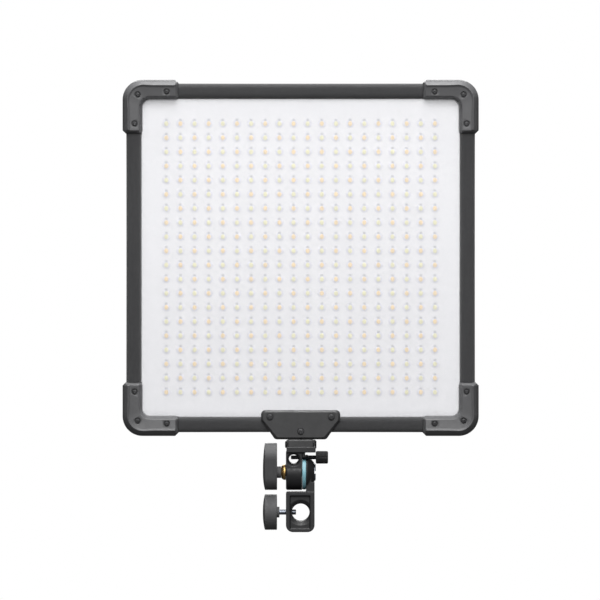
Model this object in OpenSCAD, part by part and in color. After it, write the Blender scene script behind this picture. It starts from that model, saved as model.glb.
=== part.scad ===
// Studio LED panel light on a tilting light stand bracket.
// Millimetres. +X is to the light's right as seen from in front, the light shines to -Y, +Z is up.
// The origin is the centre of the front mouth of the spigot socket, on the socket's axis.

/* [Panel] */
// Outer width and height of the square panel, over its corner covers
panel_w = 340; // [280:1:480]
// How far the edge sleeves sit inside the corner covers' outer edges
sleeve_inset = 3.6; // [2:0.1:6]
// Width of an edge sleeve, seen from in front
sleeve_w = 14.4; // [12:0.1:18]
// Thickness of an edge sleeve, front to back
sleeve_t = 12; // [9:0.5:16]
// Width of the flat bar inside each sleeve
bar_w = 9; // [8:0.5:10]
// Thickness of the flat bar inside each sleeve
bar_t = 3; // [2:0.5:4]
// Distance from the panel's corner to the end of a flat bar
bar_end = 22; // [19:0.5:26]

/* [Corner covers] */
// Length of a corner cover's leg along the top or bottom edge
corner_across = 53.5; // [50:0.5:70]
// Length of a corner cover's leg along a side edge
corner_up = 51.5; // [50:0.5:70]
// Width of a corner cover's legs
corner_w = 19.5; // [19:0.5:24]
// Thickness of a front and a rear corner cover together
corner_t = 22; // [20:0.5:26]
// Radius of a corner cover's outer corner
corner_r = 19; // [8:0.5:19]
// Radius of a corner cover's inner corner
corner_in_r = 7; // [3:0.5:10]
// Width of the sloping edge on a corner cover's outer side
corner_bevel = 5; // [3:0.5:6]
// Width of the sloping edge on a corner cover's inner side
corner_bevel_in = 3; // [2:0.5:3.5]
// Height of the sloping edges
corner_bevel_h = 7; // [4:0.5:7.5]
// Distance of the corner screw from both outer edges
corner_screw = 14.6; // [13:0.1:17]
// Distance of a leg screw from the panel's corner, along the leg
leg_screw = 42.3; // [38:0.1:45]
// Distance of a leg screw from the outer edge
leg_screw_edge = 11.8; // [10.5:0.1:12.5]
// Radius of the corner screws' threads
case_screw_r = 1.5; // [1.25:0.05:1.75]
// Radius of the corner screws' heads
case_head_r = 3.1; // [2.8:0.1:3.3]
// Height of the corner screws' heads
case_head_h = 1.6; // [1.2:0.1:2]

/* [Light mat] */
// Number of light chips in a row, and of rows
led_count = 20; // [12:1:20]
// Distance between neighbouring light chips
led_pitch = 13.5; // [10:0.5:13.5]
// Width of a light chip
chip_w = 3.6; // [2.8:0.1:5]
// Height of a light chip
chip_t = 1.2; // [0.8:0.1:1.3]
// Thickness of the light board
board_t = 0.8; // [0.5:0.1:1]
// Air gap between the light board and the diffuser
diffuser_gap = 2; // [1.6:0.1:2.4]
// Thickness of the diffuser sheet
diffuser_t = 0.8; // [0.5:0.1:1]
// Thickness of the foam behind the light board
foam_t = 2.8; // [2:0.1:3]
// Thickness of the back cloth
cloth_t = 0.8; // [0.5:0.1:1]

/* [Panel clamp] */
// Width of the clamp plates at the top
plate_top_w = 75.5; // [68:0.5:90]
// Width of the clamp plates at the bottom
plate_bottom_w = 48; // [40:0.5:60]
// Height of the clamp plates
plate_h = 28; // [26.5:0.1:30]
// Height of the upright part of a clamp plate's sides
plate_side_h = 10; // [5:0.5:11]
// Thickness of a clamp plate
plate_t = 3.5; // [3:0.1:5]
// Radius of a clamp plate's corners
plate_r = 3; // [2:0.5:4]
// How far the clamp plates reach below the panel's lower edge
plate_drop = 3.1; // [1:0.1:4]
// Distance between the two upper clamp screws
plate_screw_span = 58.5; // [50:0.5:60]
// Radius of the clamp screws' threads
plate_screw_r = 2; // [1.5:0.1:2.2]
// Radius of the clamp screws' heads
plate_head_r = 3.2; // [3:0.1:3.6]

/* [Bracket head] */
// Distance from the tilt axis to the panel's lower edge
panel_rise = 34.6; // [33.6:0.1:44]
// Radius of the head's round barrel
barrel_r = 17; // [16.6:0.1:17.4]
// Length of the barrel along the tilt axis
barrel_w = 15.4; // [13.5:0.1:16]
// Depth of the neck above the barrel, front to back
neck_d = 33; // [32:0.5:33.5]
// Height of the shoe's underside above the tilt axis
shoe_rise = 19.3; // [19:0.1:20]
// Depth of the shoe, front to back
shoe_d = 36; // [32:0.5:38]
// Height of the shoe's front and rear lips
shoe_lip_h = 5.3; // [4.5:0.1:6]
// Thickness of the shoe's floor
shoe_floor = 1.8; // [1.4:0.1:2.4]
// Inside width between the shoe's cheeks
shoe_in_w = 24.4; // [22:0.1:24.8]
// Thickness of the shoe's left cheek
cheek_left_t = 1.3; // [1:0.1:1.6]
// Thickness of the shoe's right cheek
cheek_right_t = 2.1; // [1.6:0.1:2.6]
// Depth of the foot that stands in the shoe
foot_d = 24; // [20:0.5:26]
// Radius of the umbrella hole
umbrella_r = 4.6; // [4:0.1:4.6]
// Height of the umbrella screw above the tilt axis
umbrella_rise = 14.6; // [14.4:0.1:14.7]
// Distance of the umbrella hole below its screw's axis
umbrella_drop = 2; // [0:0.1:2]
// Distance of the umbrella hole from the spigot axis, to the left
umbrella_x = 6.7; // [6.5:0.1:7]
// Distance of the umbrella screw from the bracket's middle, to the front
umbrella_screw_y = 12.6; // [12.5:0.1:13]
// Radius of the umbrella screw
umbrella_screw_r = 2; // [1.5:0.1:2]
// Radius of the umbrella screw's knob
umbrella_knob_r = 6; // [5:0.1:6.2]
// Length of the umbrella screw's knob
umbrella_knob_w = 11.7; // [9:0.1:14]
// Thickness of the friction ring
ring_t = 3.7; // [3.5:0.1:5]
// Radius of the friction ring
ring_r = 16.6; // [15:0.1:16.6]

/* [Bracket base] */
// Height of the tilt axis above the spigot axis
tilt_rise = 38.1; // [38:0.1:40]
// Width of the socket block
block_w = 27.3; // [26.4:0.1:27.6]
// Depth of the socket block, front to back
block_d = 28; // [27:0.5:28.5]
// Height of the socket block above the spigot axis
block_top = 19.5; // [18:0.1:19.6]
// Depth of the socket block below the spigot axis
block_bottom = 18.5; // [17:0.1:22]
// Radius of the socket block's lower corners
block_r = 6.7; // [3:0.1:8]
// Radius of the spigot socket
socket_r = 8.5; // [8:0.05:8.6]
// Radius of the relief in the middle of the socket
relief_r = 9.1; // [8.9:0.05:9.4]
// Length of the relief in the middle of the socket
relief_w = 6.4; // [5.8:0.1:8]
// Depth of the pocket in the socket block's front and rear
pocket_d = 2.2; // [1.5:0.1:2.5]
// Radius of the socket's funnel mouths
funnel_r = 12; // [10:0.1:12]
// Depth of the socket's funnel mouths
funnel_d = 2.2; // [1.5:0.1:2.5]
// Radius of the lower knuckle beside the friction ring
knuckle_r = 16.8; // [15.5:0.1:16.8]
// Radius of the knuckle's outer end, under the bolt head
knuckle_end_r = 9.3; // [8.8:0.1:9.5]
// Depth of the web between the knuckle and the socket block
web_d = 24; // [20:0.5:24]
// Radius of the tilt bolt
bolt_r = 3.95; // [3:0.05:4]
// Radius of the tilt bolt's head
bolt_head_r = 8.4; // [7:0.1:8.4]
// Thickness of the tilt bolt's head
bolt_head_t = 1.6; // [1.4:0.1:2.4]
// Side of the square neck under the tilt bolt's head
bolt_square = 8.6; // [8:0.1:9]

/* [Knobs] */
// Radius of the tilt lever's round end, about the tilt axis
lever_r = 17; // [14:0.1:17]
// Radius of the tilt lever's thumb end
lever_tip_r = 12.6; // [9:0.1:12.6]
// Distance between the centres of the tilt lever's two ends
lever_reach = 18; // [10:0.1:18]
// How far the tilt lever leans to the front, in degrees
lever_lean = 30; // [0:1:40]
// Thickness of the tilt lever and of the spigot knob
knob_w = 13.5; // [11:0.1:15]
// Radius of the spigot knob
spigot_knob_r = 17; // [13:0.1:17.2]
// Height of the domes on the tilt lever and the spigot knob
knob_dome = 2; // [1:0.1:3]
// Left face of the head to the inner face of the tilt lever and the spigot knob
knob_gap = 8.6; // [8.6:0.1:12]
// Radius of the tilt lever's collar
lever_collar_r = 5.6; // [5.4:0.1:6]
// Thickness of the brass washer
washer_t = 4.4; // [3.5:0.1:4.6]
// Radius of the brass washer
washer_r = 7.5; // [6.5:0.1:8]
// Radius of the spigot screw
spigot_screw_r = 2.5; // [2:0.05:2.6]
// How far the spigot screw's tip stands in the socket
spigot_screw_in = 4.1; // [2:0.1:5]
// Radius of the spigot knob's collar
spigot_collar_r = 5.2; // [4.5:0.1:6]
// Length of the spigot knob's collar
spigot_collar_w = 2.4; // [1.5:0.1:2.4]

/* [Control unit] */
// Width of the control unit
unit_w = 96; // [90:1:130]
// Height of the control unit
unit_h = 76; // [72:1:90]
// Depth of the control unit's housing
unit_d = 20; // [18:0.5:26]
// Radius of the control unit's corners
unit_r = 9; // [7:0.5:12]
// Wall of the control unit's housing
unit_wall = 2; // [1.5:0.1:2.5]
// Distance from the panel's lower edge to the control unit
unit_rise = 36; // [34:1:60]
// Thickness of the control unit's base plate
unit_base_t = 2; // [1.5:0.1:3]
// Width of the display window
window_w = 46; // [36:1:56]
// Height of the display window
window_h = 22; // [16:1:24]
// Radius of a dial
dial_r = 10.5; // [8:0.5:12]
// Height of a dial
dial_h = 9; // [6:0.5:12]
// Radius of a dial's shaft
dial_shaft_r = 3; // [2.5:0.1:3.2]
// Radius of the mode button
button_r = 4.5; // [3.5:0.1:5]
// Travel of the mode button
button_travel = 1; // [0.6:0.1:1.4]
// Radius of the power socket's opening
jack_r = 3; // [2.5:0.1:3.2]

/* [Hidden] */
$fn = 64;
// Clearance between a screw or shaft and its hole, on the radius
fit_gap = 0.05;
// Clearance round what is held in a pocket or slot
seat_gap = 0.1;
// Clearance between faces that slide past each other
slide_gap = 0.1;
// Overlap that keeps a cut open at a face
over = 1;

// Depth from the middle plane to the socket's mouth, which is where the origin sits
mouth_y = block_d / 2 - pocket_d - funnel_d;

// Heights
tilt_z = tilt_rise;
panel_low = tilt_z + panel_rise;
panel_z = panel_low + panel_w / 2;
plate_low = panel_low - plate_drop;
plate_high = plate_low + plate_h;
shoe_z = tilt_z + shoe_rise;
foot_z = shoe_z + shoe_floor;
umbrella_z = tilt_z + umbrella_rise;
umbrella_hole_z = umbrella_z - umbrella_drop;
pin_rise = 7.1;
pin_r = 2;
pin_z = shoe_z + pin_rise;
unit_z = panel_low + unit_rise + unit_h / 2;

// Panel
half = panel_w / 2;
bar_line = half - sleeve_inset - sleeve_w / 2;
mat_w = panel_w - 2 * sleeve_inset - 2 * sleeve_w;
board_front = -board_t / 2;
diffuser_back = board_front - diffuser_gap;
diffuser_front = diffuser_back - diffuser_t;
foam_back = board_t / 2 + foam_t;
cloth_back = foam_back + cloth_t;
head_seat = corner_t / 2 - case_head_h - 0.4;
screw_end = 0.6 * corner_t / 2;
strip_w = chip_w + 1.4;
strip_t = 0.3;
rim_w = 4;

// Bracket, along the tilt axis
block_shift = -0.35;
head_left = -block_w / 2 + block_shift;
barrel_right = head_left + barrel_w;
shoe_left = -shoe_in_w / 2 - cheek_left_t;
shoe_right = shoe_in_w / 2 + cheek_right_t;
ring_left = barrel_right + slide_gap;
knuckle_left = ring_left + ring_t;
block_right = block_w / 2 + block_shift;
knuckle_end = block_right - 0.5;
bolt_end = head_left - knob_gap - knob_w + knob_dome + 2;
plate_face = sleeve_t / 2;
plate_screw_low = 4.3;
plate_screw_step = 13.9;
plate_screw_high = plate_screw_low + plate_screw_step;
plate_recess = 1.2;
pocket_left = -block_w / 2 + 3.6;
pocket_right = block_w / 2 - 4.7;
pocket_top = block_top - 3.4;
pocket_bottom = block_bottom - 2.9;
gusset_w = 2.9;
gusset_d = 6;

// Knobs
screw_start = 4;
umbrella_blind = 3;
knob_inner = head_left - knob_gap;
knob_outer = knob_inner - knob_w;
spigot_dome_r = (pow(spigot_knob_r, 2) + pow(knob_dome, 2)) / (2 * knob_dome);
insert_r = bolt_r + 1.6;
insert_left = bolt_end + 0.5;
insert_right = knob_inner - 1.5;
washer_left = head_left - slide_gap - washer_t;
spigot_tip = -socket_r + spigot_screw_in;
umbrella_tip = -umbrella_x - umbrella_r + 2;
umbrella_knob_left = max(block_right + 0.6, shoe_right + 0.1);

// Control unit
board_rise = 7;
rail_h = 32;
rail_w = 4;
button_rim = 1;
button_rim_t = 1.4;
button_grip = 1.5;
base_back = cloth_back + unit_base_t;
unit_back = base_back + unit_d;
face_in = unit_back - unit_wall;
board_back = base_back + board_rise;
driver_t = 1.6;
window_z = unit_z + unit_h / 2 - 8 - window_h / 2;
window_t = 1.2;
dial_x = unit_w / 2 - 8 - dial_r;
dial_z = unit_z - unit_h / 2 + 8 + dial_r;
dial_lift = 0.8;
post_x = unit_w / 2 - 6.5;
post_z = unit_h / 2 - 6.5;
post_r = 3;
unit_screw_r = 1.25;
unit_screw_head_r = 2.4;
rocker_w = 15;
rocker_d = 8;
rocker_pivot = 3.4;
rocker_pin_r = 1;
rocker_tilt = 7;
rocker_x = -unit_w / 4;
jack_x = unit_w / 4;
jack_body = 9;
port_y = (base_back + face_in) / 2;
unit_low = unit_z - unit_h / 2;

// ---------------------------------------------------------------- helpers

// Moves what is drawn about the bracket's middle plane to its place behind the origin
module seated() {
    translate([0, mouth_y, 0]) children();
}

// Turns a solid drawn along +Z to lie along +X, from x = 0
module along_x() {
    rotate([0, 90, 0]) children();
}

// Turns a solid drawn along +Z to point to the rear, along +Y
module along_y() {
    rotate([-90, 0, 0]) children();
}

// Extrudes an X-Z outline from y0 to y1
module slab(y0, y1) {
    translate([0, y1, 0]) rotate([90, 0, 0]) linear_extrude(y1 - y0) children();
}

// A box from its low corner to its high corner
module box(low, high) {
    translate(low) cube(high - low);
}

// A square sheet of the mat between two depths
module mat_sheet(y0, y1) {
    box([-mat_w / 2, y0, panel_z - mat_w / 2], [mat_w / 2, y1, panel_z + mat_w / 2]);
}

// A rounded rectangle outline about the origin
module rounded_outline(w, h, r) {
    square([w - 2 * r, h], center = true);
    square([w, h - 2 * r], center = true);
    for (sx = [-1, 1], sy = [-1, 1])
        translate([sx * (w / 2 - r), sy * (h / 2 - r)]) circle(r);
}

// ---------------------------------------------------------------- light mat

module led_board() {
    color("whitesmoke")
    seated()
    difference() {
        mat_sheet(-board_t / 2, board_t / 2);
        clamp_screw_holes(plate_screw_r + seat_gap);
    }
}

// One strip of light chips for each row, standing on the board's front
module led_rows() {
    first = -(led_count - 1) / 2 * led_pitch;
    color("khaki")
    seated()
    for (row = [0 : led_count - 1]) {
        z = panel_z + first + row * led_pitch;
        box([first - chip_w, board_front - strip_t, z - strip_w / 2],
            [-first + chip_w, board_front, z + strip_w / 2]);
        for (column = [0 : led_count - 1]) {
            x = first + column * led_pitch;
            box([x - chip_w / 2, board_front - chip_t, z - chip_w / 2],
                [x + chip_w / 2, board_front - strip_t / 2, z + chip_w / 2]);
        }
    }
}

// The diffuser, with a rim round its edge that is bonded to the light board
module diffuser_sheet() {
    inner = mat_w / 2 - rim_w;
    color([0.93, 0.93, 0.94])
    seated()
    difference() {
        mat_sheet(diffuser_front, board_front);
        box([-inner, diffuser_back, panel_z - inner], [inner, board_front + over, panel_z + inner]);
        clamp_screw_holes(plate_screw_r + seat_gap);
    }
}

module backing_foam() {
    color("dimgray")
    seated()
    difference() {
        mat_sheet(board_t / 2, foam_back);
        clamp_screw_holes(plate_screw_r + seat_gap);
        lead_slot();
    }
}

module back_cloth() {
    color([0.13, 0.13, 0.14])
    seated()
    difference() {
        mat_sheet(foam_back, cloth_back);
        clamp_screw_holes(plate_screw_r + seat_gap);
        lead_slot();
    }
}

// ---------------------------------------------------------------- frame

// A straight member of the frame: side is 0 right, 1 top, 2 left, 3 bottom
module on_edge(side) {
    translate([0, 0, panel_z]) rotate([0, -90 * side, 0]) translate([bar_line, 0, 0]) children();
}

// Sleeves run between the corner covers' legs
module edge_sleeve(side) {
    flat = side == 1 || side == 3;
    run = panel_w - 2 * (flat ? corner_across : corner_up);
    color([0.27, 0.27, 0.28])
    seated()
    difference() {
        on_edge(side)
            linear_extrude(run, center = true)
            difference() {
                rounded_outline(sleeve_w, sleeve_t, 4);
                square([bar_w + 2 * seat_gap, bar_t], center = true);
            }
        clamp_screw_holes(plate_screw_r + seat_gap);
    }
}

// Flat bars reach into the corner covers, and the leg screws pass through them
module edge_bar(side) {
    color("silver")
    seated()
    difference() {
        on_edge(side) cube([bar_w, bar_t, panel_w - 2 * bar_end], center = true);
        corner_screw_holes(case_screw_r + fit_gap);
    }
}

module edge_sleeve_top() { edge_sleeve(1); }
module edge_sleeve_bottom() { edge_sleeve(3); }
module edge_sleeve_left() { edge_sleeve(2); }
module edge_sleeve_right() { edge_sleeve(0); }
module edge_bar_top() { edge_bar(1); }
module edge_bar_bottom() { edge_bar(3); }
module edge_bar_left() { edge_bar(2); }
module edge_bar_right() { edge_bar(0); }

// Puts a corner drawn with its legs along +X and +Y at one corner of the panel, facing to the front
module at_corner(sx, sz) {
    translate([sx * half, 0, panel_z + sz * half])
    mirror([sx > 0 ? 1 : 0, 0, 0])
    mirror([0, 0, sz > 0 ? 1 : 0])
    rotate([90, 0, 0])
    children();
}

// A corner's leg, with its outer corner rounded and the end of its outer edge cut off
module leg_outline(run, inset_out, inset_in, r) {
    cut = 3;
    translate([inset_out, inset_out])
    difference() {
        square([run - inset_out - inset_in, corner_w - inset_out - inset_in]);
        difference() {
            translate([-over, -over]) square(r + over);
            translate([r, r]) circle(r);
        }
        translate([run - inset_out - inset_in, 0]) rotate(45) square(cut * sqrt(2), center = true);
    }
}

// Both legs of one cover: straight sides, then a sloping edge up to the raised face
module cover_solid() {
    straight = corner_t / 2 - corner_bevel_h;
    thin = 0.01;
    for (turn = [0, 1])
        mirror([turn, -turn, 0]) {
            run = turn == 0 ? corner_across : corner_up;
            linear_extrude(straight) leg_outline(run, 0, 0, corner_r);
            hull() {
                translate([0, 0, straight - thin])
                    linear_extrude(thin) leg_outline(run, 0, 0, corner_r, $fn = 32);
                translate([0, 0, straight + corner_bevel_h - thin])
                    linear_extrude(thin)
                    leg_outline(run, corner_bevel, corner_bevel_in, corner_r - corner_bevel, $fn = 32);
            }
        }
    linear_extrude(straight + corner_bevel_h / 2)
        translate([corner_w - over, corner_w - over])
        difference() {
            square(corner_in_r + over);
            translate([corner_in_r + over, corner_in_r + over]) circle(corner_in_r);
        }
}

// The three screw places of one corner, as in at_corner()
module at_screws() {
    translate([corner_screw, corner_screw, 0]) children();
    translate([leg_screw, leg_screw_edge, 0]) children();
    translate([leg_screw_edge, leg_screw, 0]) children();
}

module corner_screw_holes(r) {
    for (sx = [-1, 1], sz = [-1, 1])
        at_corner(sx, sz) at_screws() cylinder(r = r, h = 2 * corner_t, center = true);
}

// What runs through the corner covers: the flat bars and the mat's edge
module frame_room() {
    for (side = [0 : 3])
        on_edge(side)
            cube([bar_w + 2 * seat_gap, bar_t, panel_w - 2 * bar_end + 2 * seat_gap],
                center = true);
    box([-mat_w / 2 - seat_gap, diffuser_front - seat_gap, panel_z - mat_w / 2 - seat_gap],
        [mat_w / 2 + seat_gap, cloth_back + seat_gap, panel_z + mat_w / 2 + seat_gap]);
}

module corner_front(sx, sz) {
    color([0.38, 0.38, 0.39])
    seated()
    difference() {
        at_corner(sx, sz)
            difference() {
                cover_solid();
                at_screws() {
                    translate([0, 0, -over]) cylinder(r = case_screw_r + fit_gap, h = corner_t);
                    translate([0, 0, head_seat]) cylinder(r = case_head_r + 0.4, h = corner_t);
                }
            }
        frame_room();
    }
}

module corner_rear(sx, sz) {
    color([0.33, 0.33, 0.34])
    seated()
    difference() {
        mirror([0, 1, 0])
            at_corner(sx, sz)
            difference() {
                cover_solid();
                at_screws() translate([0, 0, -over])
                    cylinder(r = case_screw_r + fit_gap, h = screw_end + seat_gap + over);
            }
        frame_room();
    }
}

module corner_front_top_left() { corner_front(-1, 1); }
module corner_front_top_right() { corner_front(1, 1); }
module corner_front_bottom_left() { corner_front(-1, -1); }
module corner_front_bottom_right() { corner_front(1, -1); }
module corner_rear_top_left() { corner_rear(-1, 1); }
module corner_rear_top_right() { corner_rear(1, 1); }
module corner_rear_bottom_left() { corner_rear(-1, -1); }
module corner_rear_bottom_right() { corner_rear(1, -1); }

// A pan head screw with a cross recess: its head's underside is at z = 0 and its thread points to -Z
module cross_screw(r, run, head_r, head_h) {
    slot = head_r / 4;
    difference() {
        union() {
            translate([0, 0, -run]) cylinder(r = r, h = run + head_h / 2);
            cylinder(r = head_r, h = head_h * 0.6);
            translate([0, 0, head_h * 0.6]) cylinder(r1 = head_r, r2 = head_r * 0.8, h = head_h * 0.4);
        }
        for (turn = [0, 90])
            rotate(turn) translate([-head_r / 2, -slot / 2, head_h / 3]) cube([head_r, slot, head_h]);
    }
}

module corner_screws() {
    color([0.2, 0.2, 0.2])
    seated()
    for (sx = [-1, 1], sz = [-1, 1])
        at_corner(sx, sz) at_screws() translate([0, 0, head_seat])
            cross_screw(case_screw_r, head_seat + screw_end, case_head_r, case_head_h);
}

// ---------------------------------------------------------------- panel clamp

module plate_outline(inset = 0) {
    r = plate_r;
    top = plate_top_w / 2 - inset - r;
    low = plate_bottom_w / 2 - inset - r;
    hull()
    for (sx = [-1, 1]) {
        translate([sx * top, plate_high - inset - r]) circle(r, $fn = 32);
        translate([sx * top, plate_high - plate_side_h]) circle(r, $fn = 32);
        translate([sx * low, plate_low + inset + r]) circle(r, $fn = 32);
    }
}

// The three clamp screws' places in X and Z
module at_clamp_screws() {
    for (sx = [-1, 1])
        translate([sx * plate_screw_span / 2, 0, panel_low + plate_screw_high]) children();
    translate([0, 0, panel_low + plate_screw_low]) children();
}

module clamp_screw_holes(r) {
    at_clamp_screws() along_y() cylinder(r = r, h = 2 * sleeve_t, center = true);
}

module clamp_front_plate() {
    bevel = 1.2;
    bevel_in = 2.2;
    thin = 0.01;
    front = -plate_face - plate_t;
    color([0.3, 0.3, 0.3])
    seated()
    difference() {
        hull() {
            slab(front + bevel, -plate_face) plate_outline();
            slab(front, front + thin) plate_outline(bevel_in);
        }
        at_clamp_screws() {
            along_y() cylinder(r = plate_screw_r + fit_gap, h = 4 * sleeve_t, center = true);
            translate([0, front - over, 0])
                along_y() cylinder(r = plate_head_r + 0.3, h = plate_recess + over);
        }
    }
}

module foot_pin_hole() {
    translate([shoe_left - over, 0, pin_z])
        along_x() cylinder(r = pin_r + fit_gap, h = shoe_right - shoe_left + 2 * over);
}

// The rear plate stands on a foot that fills the shoe
module clamp_rear_plate() {
    foot_w = shoe_in_w - 2 * seat_gap;
    plate_bottom = plate_low - seat_gap;
    color([0.27, 0.27, 0.28])
    seated()
    difference() {
        union() {
            slab(plate_face, plate_face + plate_t) plate_outline();
            box([-foot_w / 2, -foot_d / 2, foot_z], [foot_w / 2, foot_d / 2, plate_bottom]);
            box([-foot_w / 2, -plate_face + seat_gap, plate_bottom - over],
                [foot_w / 2, plate_face + over, plate_low + plate_drop / 2]);
        }
        at_clamp_screws() along_y() cylinder(r = plate_screw_r + fit_gap, h = 4 * sleeve_t);
        foot_pin_hole();
    }
}

module clamp_screws() {
    color([0.2, 0.2, 0.2])
    seated()
    at_clamp_screws()
        translate([0, -plate_face - plate_t + plate_recess, 0]) rotate([90, 0, 0])
        cross_screw(plate_screw_r, 2 * (plate_face + plate_t - plate_recess), plate_head_r, 2);
}

// ---------------------------------------------------------------- bracket head

module tilt_bore(r, x0, x1) {
    translate([x0, 0, tilt_z]) along_x() cylinder(r = r, h = x1 - x0);
}

// The umbrella hole, with a relief where its screw comes in and an open funnel in front
module umbrella_bore() {
    flare = 2;
    translate([-umbrella_x, 0, umbrella_hole_z]) {
        along_y() cylinder(r = umbrella_r, h = 2 * shoe_d, center = true);
        translate([0, -umbrella_screw_y, 0])
            along_y() cylinder(r = umbrella_r + 0.4, h = 2 * umbrella_screw_r + 0.8, center = true);
        translate([0, -neck_d / 2 - 0.01, 0])
            along_y() cylinder(r1 = umbrella_r + flare, r2 = umbrella_r, h = flare);
    }
}

module head_arm() {
    chamfer = 1;
    cheek_d = foot_d - 4;
    cheek_top = plate_low - 0.8;
    color([0.34, 0.34, 0.35])
    seated()
    difference() {
        union() {
            tilt_bore(barrel_r, head_left + chamfer, barrel_right);
            translate([head_left, 0, tilt_z])
                along_x() cylinder(r1 = barrel_r - chamfer, r2 = barrel_r, h = chamfer);
            box([head_left, -neck_d / 2, tilt_z], [barrel_right, neck_d / 2, shoe_z]);
            box([shoe_left, -shoe_d / 2, shoe_z], [shoe_right, shoe_d / 2, shoe_z + shoe_floor]);
            for (side = [-1, 1])
                mirror([0, side > 0 ? 1 : 0, 0])
                box([-shoe_in_w / 2, -shoe_d / 2, shoe_z],
                    [shoe_in_w / 2, -foot_d / 2 - seat_gap, shoe_z + shoe_lip_h]);
            box([shoe_left, -cheek_d / 2, shoe_z], [-shoe_in_w / 2, cheek_d / 2, cheek_top]);
            box([shoe_in_w / 2, -cheek_d / 2, shoe_z], [shoe_right, cheek_d / 2, cheek_top]);
            box([shoe_left, -shoe_d / 2, shoe_z], [-shoe_in_w / 2, shoe_d / 2, shoe_z + shoe_lip_h]);
            box([shoe_in_w / 2, -shoe_d / 2, shoe_z], [shoe_right, shoe_d / 2, shoe_z + shoe_lip_h]);
            translate([0, -umbrella_screw_y, 0])
                box([barrel_right - over, -gusset_d / 2, umbrella_z],
                    [barrel_right + gusset_w, gusset_d / 2, shoe_z]);
        }
        tilt_bore(bolt_r + fit_gap, head_left - over, barrel_right + over);
        umbrella_bore();
        translate([-umbrella_x, -umbrella_screw_y, umbrella_z])
            along_x() cylinder(r = umbrella_screw_r + fit_gap, h = block_w);
        foot_pin_hole();
    }
}

// A headed pin through the shoe's cheeks and the foot
module head_cross_pin() {
    head_r = 3.3;
    head_t = 1.4;
    clip_r = 3.8;
    clip_t = 0.8;
    color("dimgray")
    seated()
    translate([0, 0, pin_z]) {
        translate([shoe_left, 0, 0]) along_x() cylinder(r = pin_r, h = shoe_right - shoe_left);
        translate([shoe_left - head_t, 0, 0]) along_x() cylinder(r = head_r, h = head_t);
        translate([shoe_right, 0, 0]) along_x() cylinder(r = clip_r, h = clip_t);
    }
}

module friction_ring() {
    color([0.68, 0.83, 0.88])
    seated()
    difference() {
        tilt_bore(ring_r, ring_left, knuckle_left);
        tilt_bore(bolt_r + fit_gap, ring_left - over, knuckle_left + over);
    }
}

// ---------------------------------------------------------------- bracket base

module block_outline() {
    small = 1.5;
    w = block_right - head_left;
    translate([head_left, -block_bottom]) {
        translate([0, block_r]) square([w, block_bottom + block_top - block_r - small]);
        translate([block_r, 0]) square([w - 2 * block_r, block_r + over]);
        translate([small, block_r]) square([w - small, block_bottom + block_top - block_r]);
        translate([small, block_bottom + block_top - small]) circle(small);
        for (x = [block_r, w - block_r]) translate([x, block_r]) circle(block_r);
    }
}

// The socket: two lands with a relief between them, and a funnel from each pocket's floor
module socket_bore() {
    along_y() cylinder(r = socket_r, h = 2 * block_d, center = true);
    along_y() cylinder(r = relief_r, h = relief_w, center = true);
    for (side = [0, 1])
        mirror([0, side, 0]) {
            box([pocket_left, -block_d / 2 - over, -pocket_bottom],
                [pocket_right, -block_d / 2 + pocket_d, pocket_top]);
            intersection() {
                translate([0, -mouth_y - funnel_d - 0.01, 0])
                    along_y() cylinder(r1 = funnel_r, r2 = socket_r, h = funnel_d + 0.01);
                box([pocket_left, -block_d, -block_bottom], [pocket_right, 0, block_top]);
            }
        }
}

module base_arm() {
    knuckle_flat = 1.2;
    color([0.34, 0.34, 0.35])
    seated()
    difference() {
        union() {
            slab(-block_d / 2, block_d / 2) block_outline();
            box([knuckle_left, -web_d / 2, block_top - over],
                [block_right, web_d / 2, tilt_z - knuckle_end_r + 0.3]);
            box([knuckle_left, -web_d / 2, block_top - over], [knuckle_left + 5, web_d / 2, tilt_z]);
            tilt_bore(knuckle_r, knuckle_left, knuckle_left + knuckle_flat);
            translate([knuckle_left + knuckle_flat, 0, tilt_z]) along_x()
                cylinder(r1 = knuckle_r, r2 = knuckle_end_r,
                    h = knuckle_end - knuckle_left - knuckle_flat);
        }
        socket_bore();
        tilt_bore(bolt_head_r + seat_gap, knuckle_end, knuckle_end + block_w);
        tilt_bore(bolt_r + fit_gap, knuckle_left - over, knuckle_end + over);
        bolt_neck(seat_gap);
        translate([-block_w, 0, 0]) along_x() cylinder(r = spigot_screw_r + fit_gap, h = block_w);
    }
}

// The square neck that stops the bolt turning in the base
module bolt_neck(gap) {
    run = 4;
    side = bolt_square + 2 * gap;
    translate([knuckle_end - run - gap, -side / 2, tilt_z - side / 2])
        cube([run + (gap > 0 ? gap + over : 0.5), side, side]);
}

module tilt_bolt() {
    slot = 2.9;
    color("gray")
    seated()
    difference() {
        union() {
            tilt_bore(bolt_r, bolt_end, knuckle_end + 0.5);
            tilt_bore(bolt_head_r, knuckle_end, knuckle_end + bolt_head_t);
            bolt_neck(0);
        }
        box([knuckle_end + bolt_head_t - 1.2, -block_d, tilt_z - slot / 2],
            [knuckle_end + block_w, block_d, tilt_z + slot / 2]);
    }
}

// ---------------------------------------------------------------- knobs and screws

// A brass washer with a sloping outer edge, flat against the head
module tilt_washer() {
    rim = 1.4;
    color([0.78, 0.6, 0.33])
    seated()
    difference() {
        union() {
            tilt_bore(washer_r, head_left - slide_gap - rim, head_left - slide_gap);
            translate([washer_left, 0, tilt_z]) along_x()
                cylinder(r1 = washer_r - 1.8, r2 = washer_r, h = washer_t - rim);
        }
        tilt_bore(bolt_r + fit_gap, washer_left - over, head_left + over);
    }
}

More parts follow.
